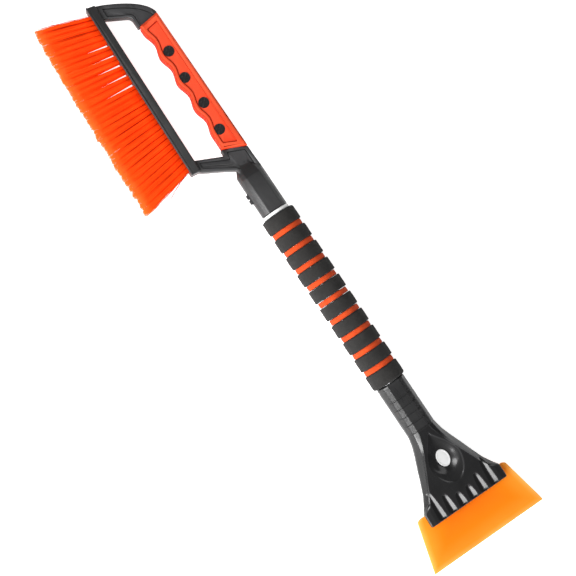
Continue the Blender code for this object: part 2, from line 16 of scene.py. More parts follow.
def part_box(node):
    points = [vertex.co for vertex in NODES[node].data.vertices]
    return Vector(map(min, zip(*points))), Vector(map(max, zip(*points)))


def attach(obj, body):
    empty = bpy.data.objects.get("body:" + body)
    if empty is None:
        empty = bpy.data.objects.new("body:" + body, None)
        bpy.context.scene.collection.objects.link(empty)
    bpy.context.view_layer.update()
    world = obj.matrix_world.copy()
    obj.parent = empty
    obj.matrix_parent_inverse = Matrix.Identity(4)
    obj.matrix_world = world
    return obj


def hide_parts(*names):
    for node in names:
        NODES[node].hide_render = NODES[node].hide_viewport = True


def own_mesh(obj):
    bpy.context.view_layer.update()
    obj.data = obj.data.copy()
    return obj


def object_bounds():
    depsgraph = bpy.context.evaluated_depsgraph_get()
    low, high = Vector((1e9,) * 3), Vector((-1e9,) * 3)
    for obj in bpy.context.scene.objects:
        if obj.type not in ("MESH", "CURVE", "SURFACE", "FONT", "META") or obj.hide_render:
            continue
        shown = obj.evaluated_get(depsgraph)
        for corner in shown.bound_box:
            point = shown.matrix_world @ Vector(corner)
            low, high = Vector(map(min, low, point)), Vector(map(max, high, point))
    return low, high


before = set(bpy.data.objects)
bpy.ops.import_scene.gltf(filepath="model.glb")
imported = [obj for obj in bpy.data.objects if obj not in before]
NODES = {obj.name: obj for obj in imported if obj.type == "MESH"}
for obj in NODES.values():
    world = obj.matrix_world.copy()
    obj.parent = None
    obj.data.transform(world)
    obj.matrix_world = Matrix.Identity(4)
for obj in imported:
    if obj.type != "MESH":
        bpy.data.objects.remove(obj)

CAD_BOX = [list(corner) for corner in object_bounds()]
MM = 0.001
SEED = 7

# ---- Places taken from the CAD ----
TUBE_LOW, TUBE_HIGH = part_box("handle_tube")
TUBE_BRUSH_END = 244.0
START = np.array(
    [
        TUBE_HIGH.x + TUBE_BRUSH_END * MM,
        (TUBE_LOW.y + TUBE_HIGH.y) / 2,
        (TUBE_LOW.z + TUBE_HIGH.z) / 2,
    ]
)


def row(points):
    """Places in the shaft's frame, as points of the row frame in metres."""
    points = np.atleast_2d(np.asarray(points, float))
    return START + points * (-MM, MM, MM)


def span(node):
    """A CAD node's low and high corners in the shaft's frame."""
    a, b = ((np.array(corner) - START) / (-MM, MM, MM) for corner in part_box(node))
    return np.minimum(a, b), np.maximum(a, b)


def placed(name, data):
    """A new object in the scene."""
    made = bpy.data.objects.new(name, data)
    bpy.context.scene.collection.objects.link(made)
    return made


# ---- Materials ----
class Look:
    """A node material, written as one expression for each socket."""

    def __init__(self, name):
        self.material = bpy.data.materials.new(name)
        self.material.use_nodes = True
        self.tree = self.material.node_tree
        self.shader = self.tree.nodes["Principled BSDF"]
        self.output = self.tree.nodes["Material Output"]
        self.place = self.node("ShaderNodeTexCoord").outputs["Object"]

    def node(self, kind, sockets=None, **settings):
        made = self.tree.nodes.new(kind)
        for key, value in settings.items():
            setattr(made, key, value)
        for key, value in (sockets or {}).items():
            self.feed(made.inputs[key], value)
        return made

    def feed(self, socket, value):
        if isinstance(value, bpy.types.NodeSocket):
            self.tree.links.new(value, socket)
        else:
            socket.default_value = value

    def set(self, **values):
        for key, value in values.items():
            self.feed(self.shader.inputs[key.replace("_", " ")], value)
        return self

    def moved(self, scale=(1.0, 1.0, 1.0), turn=(0.0, 0.0, 0.0)):
        sockets = {"Vector": self.place, "Scale": scale, "Rotation": turn}
        return self.node("ShaderNodeMapping", sockets).outputs[0]

    def noise(self, scale, detail=3.0, rough=0.55, at=None):
        sockets = {"Vector": at or self.place, "Scale": scale, "Detail": detail, "Roughness": rough}
        return self.node("ShaderNodeTexNoise", sockets).outputs[0]

    def cells(self, scale, feature="F1", at=None):
        sockets = {"Vector": at or self.place, "Scale": scale}
        return self.node("ShaderNodeTexVoronoi", sockets, feature=feature).outputs["Distance"]

    def remap(self, value, low, high, to_low=0.0, to_high=1.0):
        sockets = {0: value, 1: low, 2: high, 3: to_low, 4: to_high}
        return self.node("ShaderNodeMapRange", sockets).outputs[0]

    def maths(self, operation, a, b=0.0):
        return self.node("ShaderNodeMath", {0: a, 1: b}, operation=operation).outputs[0]

    def ramp(self, value, *stops):
        """Colours by place, each stop being (place, colour)."""
        made = self.node("ShaderNodeValToRGB", {"Fac": value})
        ramp = made.color_ramp
        while len(ramp.elements) < len(stops):
            ramp.elements.new(0.5)
        for element, (place, colour) in zip(ramp.elements, stops):
            element.position = place
            element.color = (*colour, 1.0)
        return made.outputs[0]

    def blend(self, share, a, b, mode="MIX"):
        made = self.node("ShaderNodeMix", data_type="RGBA", blend_type=mode)
        for socket, value in zip((made.inputs[0], made.inputs[6], made.inputs[7]), (share, a, b)):
            self.feed(socket, (*value, 1.0) if isinstance(value, tuple) else value)
        return made.outputs[2]

    def along(self, axis="X"):
        return self.node("ShaderNodeSeparateXYZ", {0: self.place}).outputs[axis]

    def attribute(self, name):
        return self.node("ShaderNodeAttribute", attribute_name=name).outputs["Fac"]

    def edges(self, low=0.5, high=0.58):
        """Where the surface turns outwards, read from its pointiness."""
        pointy = self.node("ShaderNodeNewGeometry").outputs["Pointiness"]
        return self.remap(pointy, low, high)

    def bumps(self, *layers):
        """Relief from (height, depth in metres) layers."""
        normal = None
        for height, depth in layers:
            sockets = {"Strength": 1.0, "Distance": depth, "Height": height}
            if normal is not None:
                sockets["Normal"] = normal
            normal = self.node("ShaderNodeBump", sockets).outputs[0]
        return self.set(Normal=normal)

    def lit_through(self, share, colour):
        """Lets a share of the light come through the piece from behind."""
        glow = self.node("ShaderNodeBsdfTranslucent", {"Color": colour})
        sockets = {0: share, 1: self.shader.outputs[0], 2: glow.outputs[0]}
        self.feed(self.output.inputs["Surface"], self.node("ShaderNodeMixShader", sockets).outputs[0])
        return self


NECK_BLEND = (558.0, 554.0)


def moulded_black(name, deep, pale, rough, grain, edge=(0.055, 0.055, 0.058), neck=None):
    """Injection-moulded black plastic: a fine grain, slow mottling and paler edges.

    A piece with a neck takes those two greys and a duller surface before NECK_BLEND.
    """
    look = Look(name)
    mottle = look.remap(look.noise(55.0, 4.0), 0.3, 0.7)
    colour = look.blend(mottle, deep, pale)
    colour = look.blend(look.maths("MULTIPLY", look.edges(), 0.55), colour, edge)
    grains = look.noise(2600.0, 2.0)
    smear = look.noise(240.0, 3.0, at=look.moved((0.25, 1.0, 1.0)))
    roughness = look.remap(smear, 0.3, 0.7, rough - 0.05, rough + 0.06)
    if neck is not None:
        share = look.remap(look.along("X"), *(START[0] - place * MM for place in NECK_BLEND))
        colour = look.blend(share, colour, look.blend(mottle, *neck))
        roughness = look.maths("ADD", roughness, look.maths("MULTIPLY", share, 0.10))
    look.set(Base_Color=colour, Roughness=roughness, Specular_IOR_Level=0.5)
    return look.bumps((grains, grain), (smear, grain * 0.6))


FRAME_GREYS = ((0.0150, 0.0148, 0.0150), (0.0250, 0.0247, 0.0250))
HEAD_GREYS = ((0.0050, 0.0050, 0.0054), (0.0090, 0.0090, 0.0095))
NECK_GREYS = ((0.014, 0.014, 0.0145), (0.022, 0.022, 0.0225))
FRAME_BLACK = moulded_black("frame_black", *FRAME_GREYS, 0.34, 0.00004)
HEAD_BLACK = moulded_black("head_black", *HEAD_GREYS, 0.20, 0.00001, neck=NECK_GREYS)


def foam(name, deep, pale, speck):
    """Closed-cell foam: small pores over a slow unevenness."""
    look = Look(name)
    pores = look.cells(1500.0)
    fine = look.noise(3200.0, 3.0, 0.7)
    slow = look.noise(130.0, 4.0)
    colour = look.blend(look.remap(slow, 0.3, 0.7), deep, pale)
    colour = look.blend(look.remap(fine, 0.52, 0.75, 0.0, 0.5), colour, speck)
    look.set(Base_Color=colour, Roughness=look.remap(slow, 0.3, 0.7, 0.86, 0.96))
    look.set(Specular_IOR_Level=0.2, Sheen_Weight=0.04, Sheen_Roughness=0.6)
    return look.bumps((pores, 0.00022), (fine, 0.00012), (slow, 0.0004))


FOAM_BLACK = foam("foam_black", (0.018, 0.0172, 0.0165), (0.027, 0.026, 0.025), (0.06, 0.057, 0.055))
FOAM_ORANGE = foam("foam_orange", (0.52, 0.045, 0.0065), (0.63, 0.070, 0.011), (0.80, 0.13, 0.035))
GRIP_HALF = 11.0


def rubber_grip():
    """Soft red-orange rubber: a painted sheen on its raised rim, paler edges, and painted shade in its
    hollows.
    """
    look = Look("rubber_grip")
    slow = look.noise(60.0, 4.0)
    fine = look.noise(2400.0, 2.0)
    colour = look.blend(look.remap(slow, 0.3, 0.7), (0.54, 0.018, 0.001), (0.62, 0.027, 0.002))
    # Painted sheen: the raised rim's face is painted paler, as if the light catches it.
    raised = look.maths("ABSOLUTE", look.maths("SUBTRACT", look.along("Z"), START[2]))
    rim = look.remap(raised, (GRIP_HALF - 0.6) * MM, (GRIP_HALF - 0.3) * MM)
    colour = look.blend(rim, colour, (0.62, 0.058, 0.018))
    colour = look.blend(look.maths("MULTIPLY", look.edges(0.5, 0.56), 0.5), colour, (0.95, 0.12, 0.05))
    # Painted shade: concave creases, such as those along the sunk panel's edges, are painted darker.
    hollow = look.remap(look.node("ShaderNodeNewGeometry").outputs["Pointiness"], 0.42, 0.495, 0.75, 0.0)
    colour = look.blend(hollow, colour, (0.30, 0.012, 0.006))
    look.set(Base_Color=colour, Roughness=look.remap(slow, 0.3, 0.7, 0.46, 0.58))
    look.set(Specular_IOR_Level=0.10, Subsurface_Weight=0.1, Subsurface_Scale=MM)
    return look.bumps((fine, 0.00005), (slow, 0.0001))


def stud_rubber():
    look = Look("stud_rubber")
    fine = look.noise(2200.0, 3.0)
    colour = look.blend(look.remap(fine, 0.35, 0.65), (0.004, 0.0035, 0.0035), (0.010, 0.008, 0.008))
    colour = look.blend(look.maths("MULTIPLY", look.edges(0.5, 0.6), 0.5), colour, (0.045, 0.04, 0.04))
    roughness = look.remap(fine, 0.3, 0.7, 0.55, 0.7)
    look.set(Base_Color=colour, Roughness=roughness, Specular_IOR_Level=0.25)
    return look.bumps((fine, 0.00008))


def bristle_filament():
    """Orange filament, paler to its flagged tip; each filament has its own tone, with painted shade mixed
    into it.

    A little light of its own, most at the root, makes up for the bar's shadow.
    """
    look = Look("bristle_filament")
    length = look.attribute("length_share")
    tone = look.attribute("tone")
    colour = look.ramp(
        length,
        (0.0, (0.85, 0.060, 0.004)),
        (0.16, (1.0, 0.105, 0.006)),
        (0.60, (1.0, 0.125, 0.008)),
        (0.84, (1.0, 0.165, 0.012)),
        (1.0, (1.0, 0.24, 0.032)),
    )
    # Higher tones are paler. A tone is each filament's own at random, with painted shade from bristles()
    # added in.
    colour = look.blend(look.remap(tone, 0.5, 1.0, 0.0, 0.6), colour, (1.0, 0.20, 0.016))
    # Painted shade: the lowest tones, given to filaments between the tufts, turn dark red over most of their
    # length.
    painted_seam_shade, seam_shade_reach = look.remap(tone, 0.42, 0.1, 0.0, 0.95), look.remap(length, 0.62, 0.94, 1.0, 0.25)
    colour = look.blend(look.maths("MULTIPLY", painted_seam_shade, seam_shade_reach), colour, (0.40, 0.016, 0.001))
    streak = look.noise(420.0, 2.0, at=look.moved((1.0, 0.08, 1.0)))
    colour = look.blend(look.remap(streak, 0.45, 0.7, 0.0, 0.2), colour, (0.85, 0.045, 0.003))
    look.set(Base_Color=colour, Roughness=look.remap(tone, 0.0, 1.0, 0.4, 0.55), Specular_IOR_Level=0.25)
    look.set(Emission_Color=colour, Emission_Strength=look.remap(length, 0.0, 0.35, 0.60, 0.33))
    return look.lit_through(0.5, colour)


def blade_plastic():
    """Translucent orange sheet: deeper where it leaves the head, paler at its thin edges."""
    look = Look("blade_plastic")
    from_edge = look.attribute("edge_share")
    slow = look.noise(28.0, 3.0)
    colour = look.ramp(
        from_edge,
        (0.0, (1.0, 0.66, 0.17)),
        (0.12, (1.0, 0.47, 0.040)),
        (0.42, (1.0, 0.36, 0.007)),
        (1.0, (1.0, 0.25, 0.003)),
    )
    colour = look.blend(look.remap(slow, 0.35, 0.65, 0.0, 0.3), colour, (1.0, 0.37, 0.008))
    scratch = look.noise(900.0, 2.0, at=look.moved((0.06, 1.0, 1.0), (0.0, 0.0, 0.2)))
    look.set(Base_Color=colour, Roughness=look.remap(scratch, 0.35, 0.7, 0.16, 0.26))
    look.lit_through(0.55, colour)
    return look.bumps((scratch, 0.00001), (slow, 0.00012))


def white_plastic(name, colour, rough):
    look = Look(name)
    slow = look.noise(160.0, 3.0)
    fine = look.noise(1800.0, 2.0)
    shade = tuple(value * 0.93 for value in colour)
    look.set(
        Base_Color=look.blend(look.remap(slow, 0.3, 0.7), shade, colour),
        Roughness=look.remap(fine, 0.3, 0.7, rough - 0.04, rough + 0.05),
    )
    return look.bumps((fine, 0.00003))


def metal(name, colour, rough, brush):
    """Bare metal with fine lines; brush is how far they are drawn out along each axis."""
    look = Look(name)
    lines = look.noise(900.0, 4.0, 0.65, at=look.moved(brush))
    stain = look.noise(90.0, 3.0)
    shade = tuple(value * 0.72 for value in colour)
    tint = look.blend(look.remap(stain, 0.35, 0.65), shade, colour)
    look.set(Base_Color=tint, Roughness=look.remap(lines, 0.3, 0.7, rough - 0.06, rough + 0.1), Metallic=1.0)
    return look.bumps((lines, 0.00003))


GRIP = rubber_grip()
STUD = stud_rubber()
FILAMENT = bristle_filament()
BLADE = blade_plastic()
COLLAR_WHITE = white_plastic("collar_white", (0.93, 0.93, 0.92), 0.34)
BADGE_WHITE = white_plastic("badge_white", (0.56, 0.56, 0.56), 0.42)
TUBE_METAL = metal("tube_metal", (0.62, 0.62, 0.64), 0.32, (0.05, 1.0, 1.0))
STEEL = metal("steel", (0.58, 0.58, 0.60), 0.28, (1.0, 1.0, 0.3))


# ---- Meshes ----
def joined(mesh, degrees=None):
    """Welds a mesh, points its faces outwards and smooths it but for its sharp edges."""
    bm = bmesh.new()
    bm.from_mesh(mesh)
    bmesh.ops.remove_doubles(bm, verts=bm.verts, dist=2e-7)
    bmesh.ops.dissolve_degenerate(bm, edges=bm.edges, dist=1e-7)
    bmesh.ops.recalc_face_normals(bm, faces=bm.faces)
    bm.to_mesh(mesh)
    bm.free()
    mesh.shade_smooth()
    if degrees is not None:
        mesh.set_sharp_from_angle(angle=math.radians(degrees))
    return mesh


def dress(mesh, look):
    mesh.materials.clear()
    mesh.materials.append(look.material)


def piece(name, mesh, look, body, slot, *stands_for):
    """One visible piece: its material, the body that carries it and the CAD nodes it stands for."""
    made = placed(name, mesh)
    dress(mesh, look)
    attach(made, body)
    if stands_for:
        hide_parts(*stands_for)
    return made


def mesh_from(name, points, faces):
    mesh = bpy.data.meshes.new(name)
    mesh.from_pydata([tuple(point) for point in row(points)], [], faces)
    return mesh


def tube_faces(rings, around, capped=True):
    """Quads between rings of equal count, with a cap on either end."""
    faces = []
    for i in range(rings - 1):
        for j in range(around):
            k = (j + 1) % around
            faces.append((i * around + j, i * around + k, (i + 1) * around + k, (i + 1) * around + j))
    if capped:
        faces += [tuple(range(around)), tuple(range((rings - 1) * around, rings * around))]
    return faces


def ring_faces(rings, around):
    """Quads of a ring that closes on itself both ways."""
    faces = []
    for i in range(rings):
        n = (i + 1) % rings
        for j in range(around):
            k = (j + 1) % around
            faces.append((i * around + j, i * around + k, n * around + k, n * around + j))
    return faces


def lofted(name, rings, faces=tube_faces):
    """A skin over rings of points, all of equal count."""
    return mesh_from(name, np.concatenate(rings), faces(len(rings), len(rings[0])))


def angles(count):
    return np.arange(count) / count * 2 * math.pi


def disc_points(radius, count):
    turn = angles(count)
    return np.cos(turn) * radius, np.sin(turn) * radius


def hoop(distance, radius, turn):
    """Points round the shaft's centre line, at the given angles."""
    return np.stack([np.full(len(turn), distance), np.cos(turn) * radius, np.sin(turn) * radius], 1)


def bezier(p0, p1, p2, p3, steps):
    t = np.linspace(0.0, 1.0, steps + 1)[:, None]
    p0, p1, p2, p3 = (np.array(p, float) for p in (p0, p1, p2, p3))
    points = (1 - t) ** 3 * p0 + 3 * t * (1 - t) ** 2 * p1 + 3 * t * t * (1 - t) * p2 + t**3 * p3
    return [tuple(point) for point in points]


def rounded(loop, radius, steps=4, sharpest=20.0):
    """A closed 2-D loop with its corners rounded; gentle bends are left as they are."""
    loop = [np.array(point, float) for point in loop]
    made = []
    for before, here, after in zip(loop[-1:] + loop[:-1], loop, loop[1:] + loop[:1]):
        back, on = before - here, after - here
        reach_back, reach_on = np.linalg.norm(back), np.linalg.norm(on)
        turn = math.degrees(math.acos(np.clip(-(back @ on) / (reach_back * reach_on), -1, 1)))
        if turn < sharpest:
            made.append(here)
            continue
        reach = min(radius * math.tan(math.radians(turn) / 2), reach_back * 0.45, reach_on * 0.45)
        a, b = here + back / reach_back * reach, here + on / reach_on * reach
        for t in np.linspace(0.0, 1.0, steps + 1):
            made.append((1 - t) ** 2 * a + 2 * t * (1 - t) * here + t * t * b)
    return [tuple(point) for point in made]


def drawn_in(loop, width):
    """A closed 2-D loop moved inwards by a width, its corners mitred."""
    loop = np.array(loop, float)
    on = np.roll(loop, -1, 0) - loop
    turning = np.sum(loop[:, 0] * np.roll(loop[:, 1], -1) - loop[:, 1] * np.roll(loop[:, 0], -1))
    inward = np.column_stack([-on[:, 1], on[:, 0]]) / np.linalg.norm(on, axis=1)[:, None]
    inward *= np.sign(turning)
    before = np.roll(inward, 1, 0)
    mitre = (before + inward) / (1.0 + np.sum(before * inward, axis=1))[:, None]
    return [tuple(point) for point in loop + mitre * width]


SCRATCH = []


def scratch(name, mesh):
    """A helper object for Boolean work, removed before the script ends."""
    made = placed(name, mesh)
    SCRATCH.append(made)
    return made


def evaluated(made):
    drawn = made.evaluated_get(bpy.context.evaluated_depsgraph_get())
    mesh = bpy.data.meshes.new_from_object(drawn)
    mesh.transform(made.matrix_world)
    return mesh


def slab(name, loops, half, edge, steps=3, height=0.0):
    """A plate seen from the front with rounded edges, its outline and holes given by loops."""
    curve = bpy.data.curves.new(name, "CURVE")
    curve.dimensions = "2D"
    curve.fill_mode = "BOTH"
    curve.extrude = (half - edge) * MM
    curve.bevel_depth = edge * MM
    curve.bevel_resolution = steps - 1
    curve.offset = -edge * MM
    for loop in loops:
        spline = curve.splines.new("POLY")
        spline.points.add(len(loop) - 1)
        for point, (distance, y) in zip(spline.points, loop):
            point.co = (-distance * MM, y * MM, 0.0, 1.0)
        spline.use_cyclic_u = True
    drawn = placed(name, curve)
    drawn.location = Vector(START) + Vector((0.0, 0.0, height * MM))
    bpy.context.view_layer.update()
    mesh = joined(evaluated(drawn))
    bpy.data.objects.remove(drawn, do_unlink=True)
    return scratch(name, mesh)


def block(name, distance, y, height):
    """A plain cutting box from three (low, high) pairs."""
    corners = [(s, v, h) for s in distance for v in y for h in height]
    faces = [(0, 1, 3, 2), (4, 6, 7, 5), (0, 4, 5, 1), (2, 3, 7, 6), (0, 2, 6, 4), (1, 5, 7, 3)]
    return scratch(name, joined(mesh_from(name, corners, faces)))


def rod(name, start, end, radius, count=64):
    """A cutting cylinder along the shaft."""
    return scratch(name, joined(lofted(name, [hoop(place, radius, angles(count)) for place in (start, end)])))


def carve(base, cuts, adds=()):
    """Joins solids to a base, then cuts others out of it, and returns the mesh."""
    for other, operation in [(other, "UNION") for other in adds] + [(other, "DIFFERENCE") for other in cuts]:
        modifier = base.modifiers.new(other.name, "BOOLEAN")
        modifier.object = other
        modifier.operation = operation
        modifier.solver = "EXACT"
    bpy.context.view_layer.update()
    return joined(evaluated(base))


def bevelled(made, width, segments, degrees):
    """Rounds an object's sharp edges by a modifier."""
    modifier = made.modifiers.new("Soft edges", "BEVEL")
    modifier.width = width * MM
    modifier.segments = segments
    modifier.limit_method = "ANGLE"
    modifier.angle_limit = math.radians(degrees)
    return made


def soften(mesh, width, segments=2):
    """A mesh with the sharp edges that a Boolean leaves rounded."""
    made = bevelled(scratch(mesh.name + "_sharp", mesh), width, segments, 60.0)
    bpy.context.view_layer.update()
    return joined(evaluated(made))


# ---- Brush frame ----
PLATE_HALF = 6.5
PANEL_DEPTH, PANEL_LINE = 1.7, 1.0
SOCKET_MOUTH = 287.0
SOCKET_BOTTOM = 241.6
TUBE_ROOM = 10.3
# each opening for the catch, as its (low, high) distance, y and height
CATCH_POCKET = ((254.0, 272.5), (6.0, 13.6), (-3.7, 3.7))
CATCH_GROOVE = ((270.0, SOCKET_MOUTH + 3.0), (6.0, 12.8), (-3.4, 3.4))
BUTTON_WINDOW = ((257.1, 269.4), (12.0, 20.0), (-3.6, 3.6))


def bar_low_y(distance):
    return 47.7 + (distance - 8.3) * 4.3 / 201.6


def arm_outline():
    outer = [(11.5, 44.0), (9.9, 37.2)]
    outer += bezier((12.3, 31.2), (22.0, 10.0), (34.0, -9.0), (47.4, -12.3), 20)
    outer += [(48.7, -12.4), (49.4, -9.0), (213.9, -9.0), (215.8, -13.4)]
    outer += [(228.0, -13.6), (240.0, -14.2), (240.0, 9.5), (231.0, 10.6), (224.5, 21.0)]
    outer += [(213.6, 41.0), (209.0, 47.0)]
    hole = [(25.5, 40.5), (27.0, 35.5)]
    hole += bezier((36.5, 17.7), (38.3, 14.4), (39.6, 13.1), (44.0, 13.0), 8)
    hole += [(52.5, 13.0), (51.4, 5.0), (207.9, 5.0), (204.3, 12.8), (209.6, 12.8)]
    hole += [(211.2, 14.0), (198.0, 43.0)]
    return rounded(outer, 1.2), rounded(hole, 1.2)


def arm_panels():
    end = bezier((15.8, 33.5), (25.5, 12.5), (36.5, -4.5), (50.0, -8.8), 14)
    end += [(54.0, -8.8), (54.0, 9.9), (40.5, 9.9)]
    end += bezier((40.0, 10.0), (37.6, 10.4), (36.6, 12.4), (35.0, 15.4), 6)[1:]
    end += [(25.7, 33.5)]
    neck = [(216.8, -9.6), (237.0, -9.7), (237.0, 3.0), (228.4, 9.7), (210.6, 38.6)]
    neck += [(203.3, 38.2), (217.0, 10.0), (209.2, 8.4)]
    return end, neck


def socket_ring(half_width, half_height):
    """A flat-fronted round section: wide flats in front and behind, bevels, then round sides."""
    corner = [(0.513, 1.0), (0.793, 0.70), (0.953, 0.36), (1.0, 0.0)]
    right = corner + [(y, -h) for y, h in reversed(corner[:-1])]
    left = [(-y, h) for y, h in reversed(right)]
    loop = [(y * half_width, h * half_height) for y, h in right + left]
    return rounded(loop, 2.2, steps=4, sharpest=5.0)


def socket_body():
    """The shaft's socket, given by (distance, half width, half height) where its section changes."""
    stations = [(226.0, 9.0, 4.0), (230.6, 10.7, 5.45), (231.4, 11.0, 5.75), (238.2, 14.85, 9.9)]
    stations += [(238.9, 14.97, 10.25), (243.9, 15.0, 12.75), (244.6, 15.0, 13.0)]
    mouth = ((-1.2, 0.0), (-0.7, 0.12), (-0.3, 0.38), (0.0, 0.8))
    stations += [(SOCKET_MOUTH + offset, 15.0 - inset, 13.0 - inset) for offset, inset in mouth]
    rings = []
    for distance, half_width, half_height in stations:
        ring = np.array(socket_ring(half_width, half_height))
        rings.append(np.column_stack([np.full(len(ring), distance), ring]))
    return scratch("socket", joined(lofted("socket", rings)))


def strip(name, path, half_width, low, high):
    """A thin raised line along a 2-D path on the frame's face."""
    path = np.array(path, float)
    ahead = np.gradient(path, axis=0)
    ahead /= np.linalg.norm(ahead, axis=1)[:, None]
    side = np.column_stack([-ahead[:, 1], ahead[:, 0]])
    profile = [(-1.0, low), (-0.75, high - 0.15), (0.0, high), (0.75, high - 0.15), (1.0, low)]
    rings = []
    for point, across in zip(path, side):
        rings.append([(*(point + across * u * half_width), h) for u, h in profile])
    return scratch(name, joined(lofted(name, rings)))


def brush_frame():
    """The plate with its sunk panels, then the ribs, bar, lip and socket, and the shaft's room."""
    outer, hole = arm_outline()
    plate = slab("arms", [outer, hole], PLATE_HALF, 1.0)
    cuts, adds = [], []
    for side in (1, -1):
        for k, loop in enumerate(arm_panels()):
            name = f"panel_{k}_{side}"
            outline, inner = rounded(loop, 0.8), rounded(drawn_in(loop, 0.9), 0.5)
            face = side * PLATE_HALF
            cuts.append(slab(name, [outline], PANEL_DEPTH, 0.4, 2, face))
            cuts.append(slab(name + "_line", [outline, inner], PANEL_DEPTH + PANEL_LINE, 0.2, 1, face))
    arms = scratch("arms_cut", soften(carve(plate, cuts), 0.45))
    for side in (1, -1):
        floor = side * (PLATE_HALF - PANEL_DEPTH)
        for k, offset in enumerate((3.0, 5.2)):
            line = [(231.0 - offset, 8.0), (228.0 - offset, 9.7), (213.2 - offset, 35.5)]
            low, high = sorted((floor - side * 0.6, floor + side * 0.35), key=abs)
            adds.append(strip(f"rib_{k}_{side}", line, 0.45, low, high))
    bar = [(9.2, 37.8), (211.3, 41.6), (210.3, 50.9), (7.3, bar_low_y(7.3) - 1.2)]
    lip = [(7.6, 45.6), (210.7, 50.0), (209.9, 52.0), (7.0, bar_low_y(7.0))]
    adds.append(slab("bar", [rounded(bar, 1.5)], 9.6, 1.4))
    adds.append(slab("lip", [rounded(lip, 0.5)], 10.0, 0.5, 2))
    adds.append(socket_body())
    cuts = [rod("bore", SOCKET_BOTTOM, SOCKET_MOUTH + 10.0, TUBE_ROOM)]
    openings = {"pocket": CATCH_POCKET, "groove": CATCH_GROOVE, "window": BUTTON_WINDOW}
    cuts += [block(name, *sides) for name, sides in openings.items()]
    mesh = carve(arms, cuts, adds)
    mesh.set_sharp_from_angle(angle=math.radians(32))
    return piece("frame_moulding", mesh, FRAME_BLACK, "brush_head", "black_plastic", "brush_frame")


# ---- Grip with its studs ----
GRIP_PANEL, GRIP_LINE = 0.9, 1.7
WAVE_PITCH, WAVE_CREST, WAVE_HEIGHT, WAVE_MEAN = 32.0, 90.5, 1.75, 9.15
CONTOUR_HEIGHT, CONTOUR_MEAN = 1.5, 5.6
STUD_R = 5.7
STUD_PLACES = ((90.3, 0.5), (122.1, 2.1), (154.4, 0.1), (186.1, 1.9))


def wave(distance, mean, height):
    return mean + height * np.cos(2 * math.pi * (np.asarray(distance) - WAVE_CREST) / WAVE_PITCH)


def wave_line(mean, height, low=58.5, high=186.5, steps=96):
    distance = np.linspace(low, high, steps + 1)
    return list(zip(distance, wave(distance, mean, height)))


def stud_cutter(number, distance, y, room=0.12):
    """A stud's window in the grip, which stops at the sunk face's lower line."""
    count = 48
    a, b = disc_points(STUD_R + room, count)
    across = np.minimum(b + y, wave(a + distance, CONTOUR_MEAN, CONTOUR_HEIGHT) - 0.35 + room)
    rings = [np.stack([a + distance, across, np.full(count, h)], 1) for h in (-20.0, 20.0)]
    name = f"stud_window_{number}"
    return scratch(name, joined(lofted(name, rings)))


def grip_sleeve():
    loop = [(49.3, -11.9), (52.7, 10.9), *wave_line(WAVE_MEAN, WAVE_HEIGHT), (204.9, 10.9), (215.5, -13.4)]
    body = slab("grip", [rounded(loop, 1.0)], GRIP_HALF, 2.4, 5)
    panel = [(57.0, -6.8), (59.2, 6.6), *wave_line(CONTOUR_MEAN, CONTOUR_HEIGHT, 61.0), (200.5, 7.1)]
    panel = rounded(panel + [(206.8, -6.8)], 1.2)
    inside = [(58.2, -6.5), (60.2, 5.6), *wave_line(CONTOUR_MEAN - 1.1, CONTOUR_HEIGHT, 62.0), (199.8, 6.0)]
    inside = rounded(inside + [(205.7, -6.5)], 0.8)
    cuts = []
    for side in (1, -1):
        cuts.append(slab(f"grip_panel_{side}", [panel], GRIP_PANEL, 0.35, 2, side * GRIP_HALF))
        cuts.append(slab(f"grip_line_{side}", [panel, inside], GRIP_LINE, 0.2, 1, side * GRIP_HALF))
    outlined = scratch("grip_outlined", soften(carve(body, cuts), 0.5, 3))
    core = [(40.0, -9.3), (225.0, -9.3), (225.0, 5.3), (40.0, 5.3)]
    cuts = [slab("grip_room", [core], PLATE_HALF + 0.3, 0.3, 1)]
    cuts += [stud_cutter(i, s, y) for i, (s, y) in enumerate(STUD_PLACES)]
    mesh = carve(outlined, cuts)
    mesh.set_sharp_from_angle(angle=math.radians(40))
    return piece("soft_grip", mesh, GRIP, "brush_head", "grip_rubber", "grip_sleeve")


def stud(side, number, distance, y):
    """A round rubber stud with a knurled top."""
    around, rings = 72, 16
    top, seat = GRIP_HALF - 0.35, PLATE_HALF + 0.3
    points = []
    radii = [*np.linspace(0.35, STUD_R - 0.55, rings), STUD_R - 0.2, STUD_R, STUD_R]
    drops = [*np.zeros(rings), 0.12, 0.5, top - seat]
    for radius, drop in zip(radii, drops):
        a, b = disc_points(radius, around)
        knurl = np.abs(np.sin(math.pi * (a + b) / 2.3)) * np.abs(np.sin(math.pi * (a - b) / 2.3))
        height = top - drop - (0.42 * (1.0 - knurl) if drop == 0.0 else 0.0)
        across = np.minimum(b + y, wave(a + distance, CONTOUR_MEAN, CONTOUR_HEIGHT) - 0.35)
        points.append(np.stack([a + distance, across, side * (height + np.zeros(around))], 1))
    mesh = joined(lofted(f"stud_{number}", points), 50)
    word = "front" if side > 0 else "back"
    node = f"grip_stud_{word}_{number}"
    return piece(f"knurled_stud_{word}_{number}", mesh, STUD, "brush_head", "stud_rubber", node)


# ---- Bristles ----
FILAMENTS = 450
OPEN_GAPS = (2, 3, 4, 5, 6)
FILAMENT_LEVELS = (0.0, 0.2, 0.42, 0.65, 0.85, 1.0)
TUFT_COUNT = 16


def tip_y(distance):
    t = distance / 220.0
    return 104.6 + 12.6 * t - 4.6 * t * t


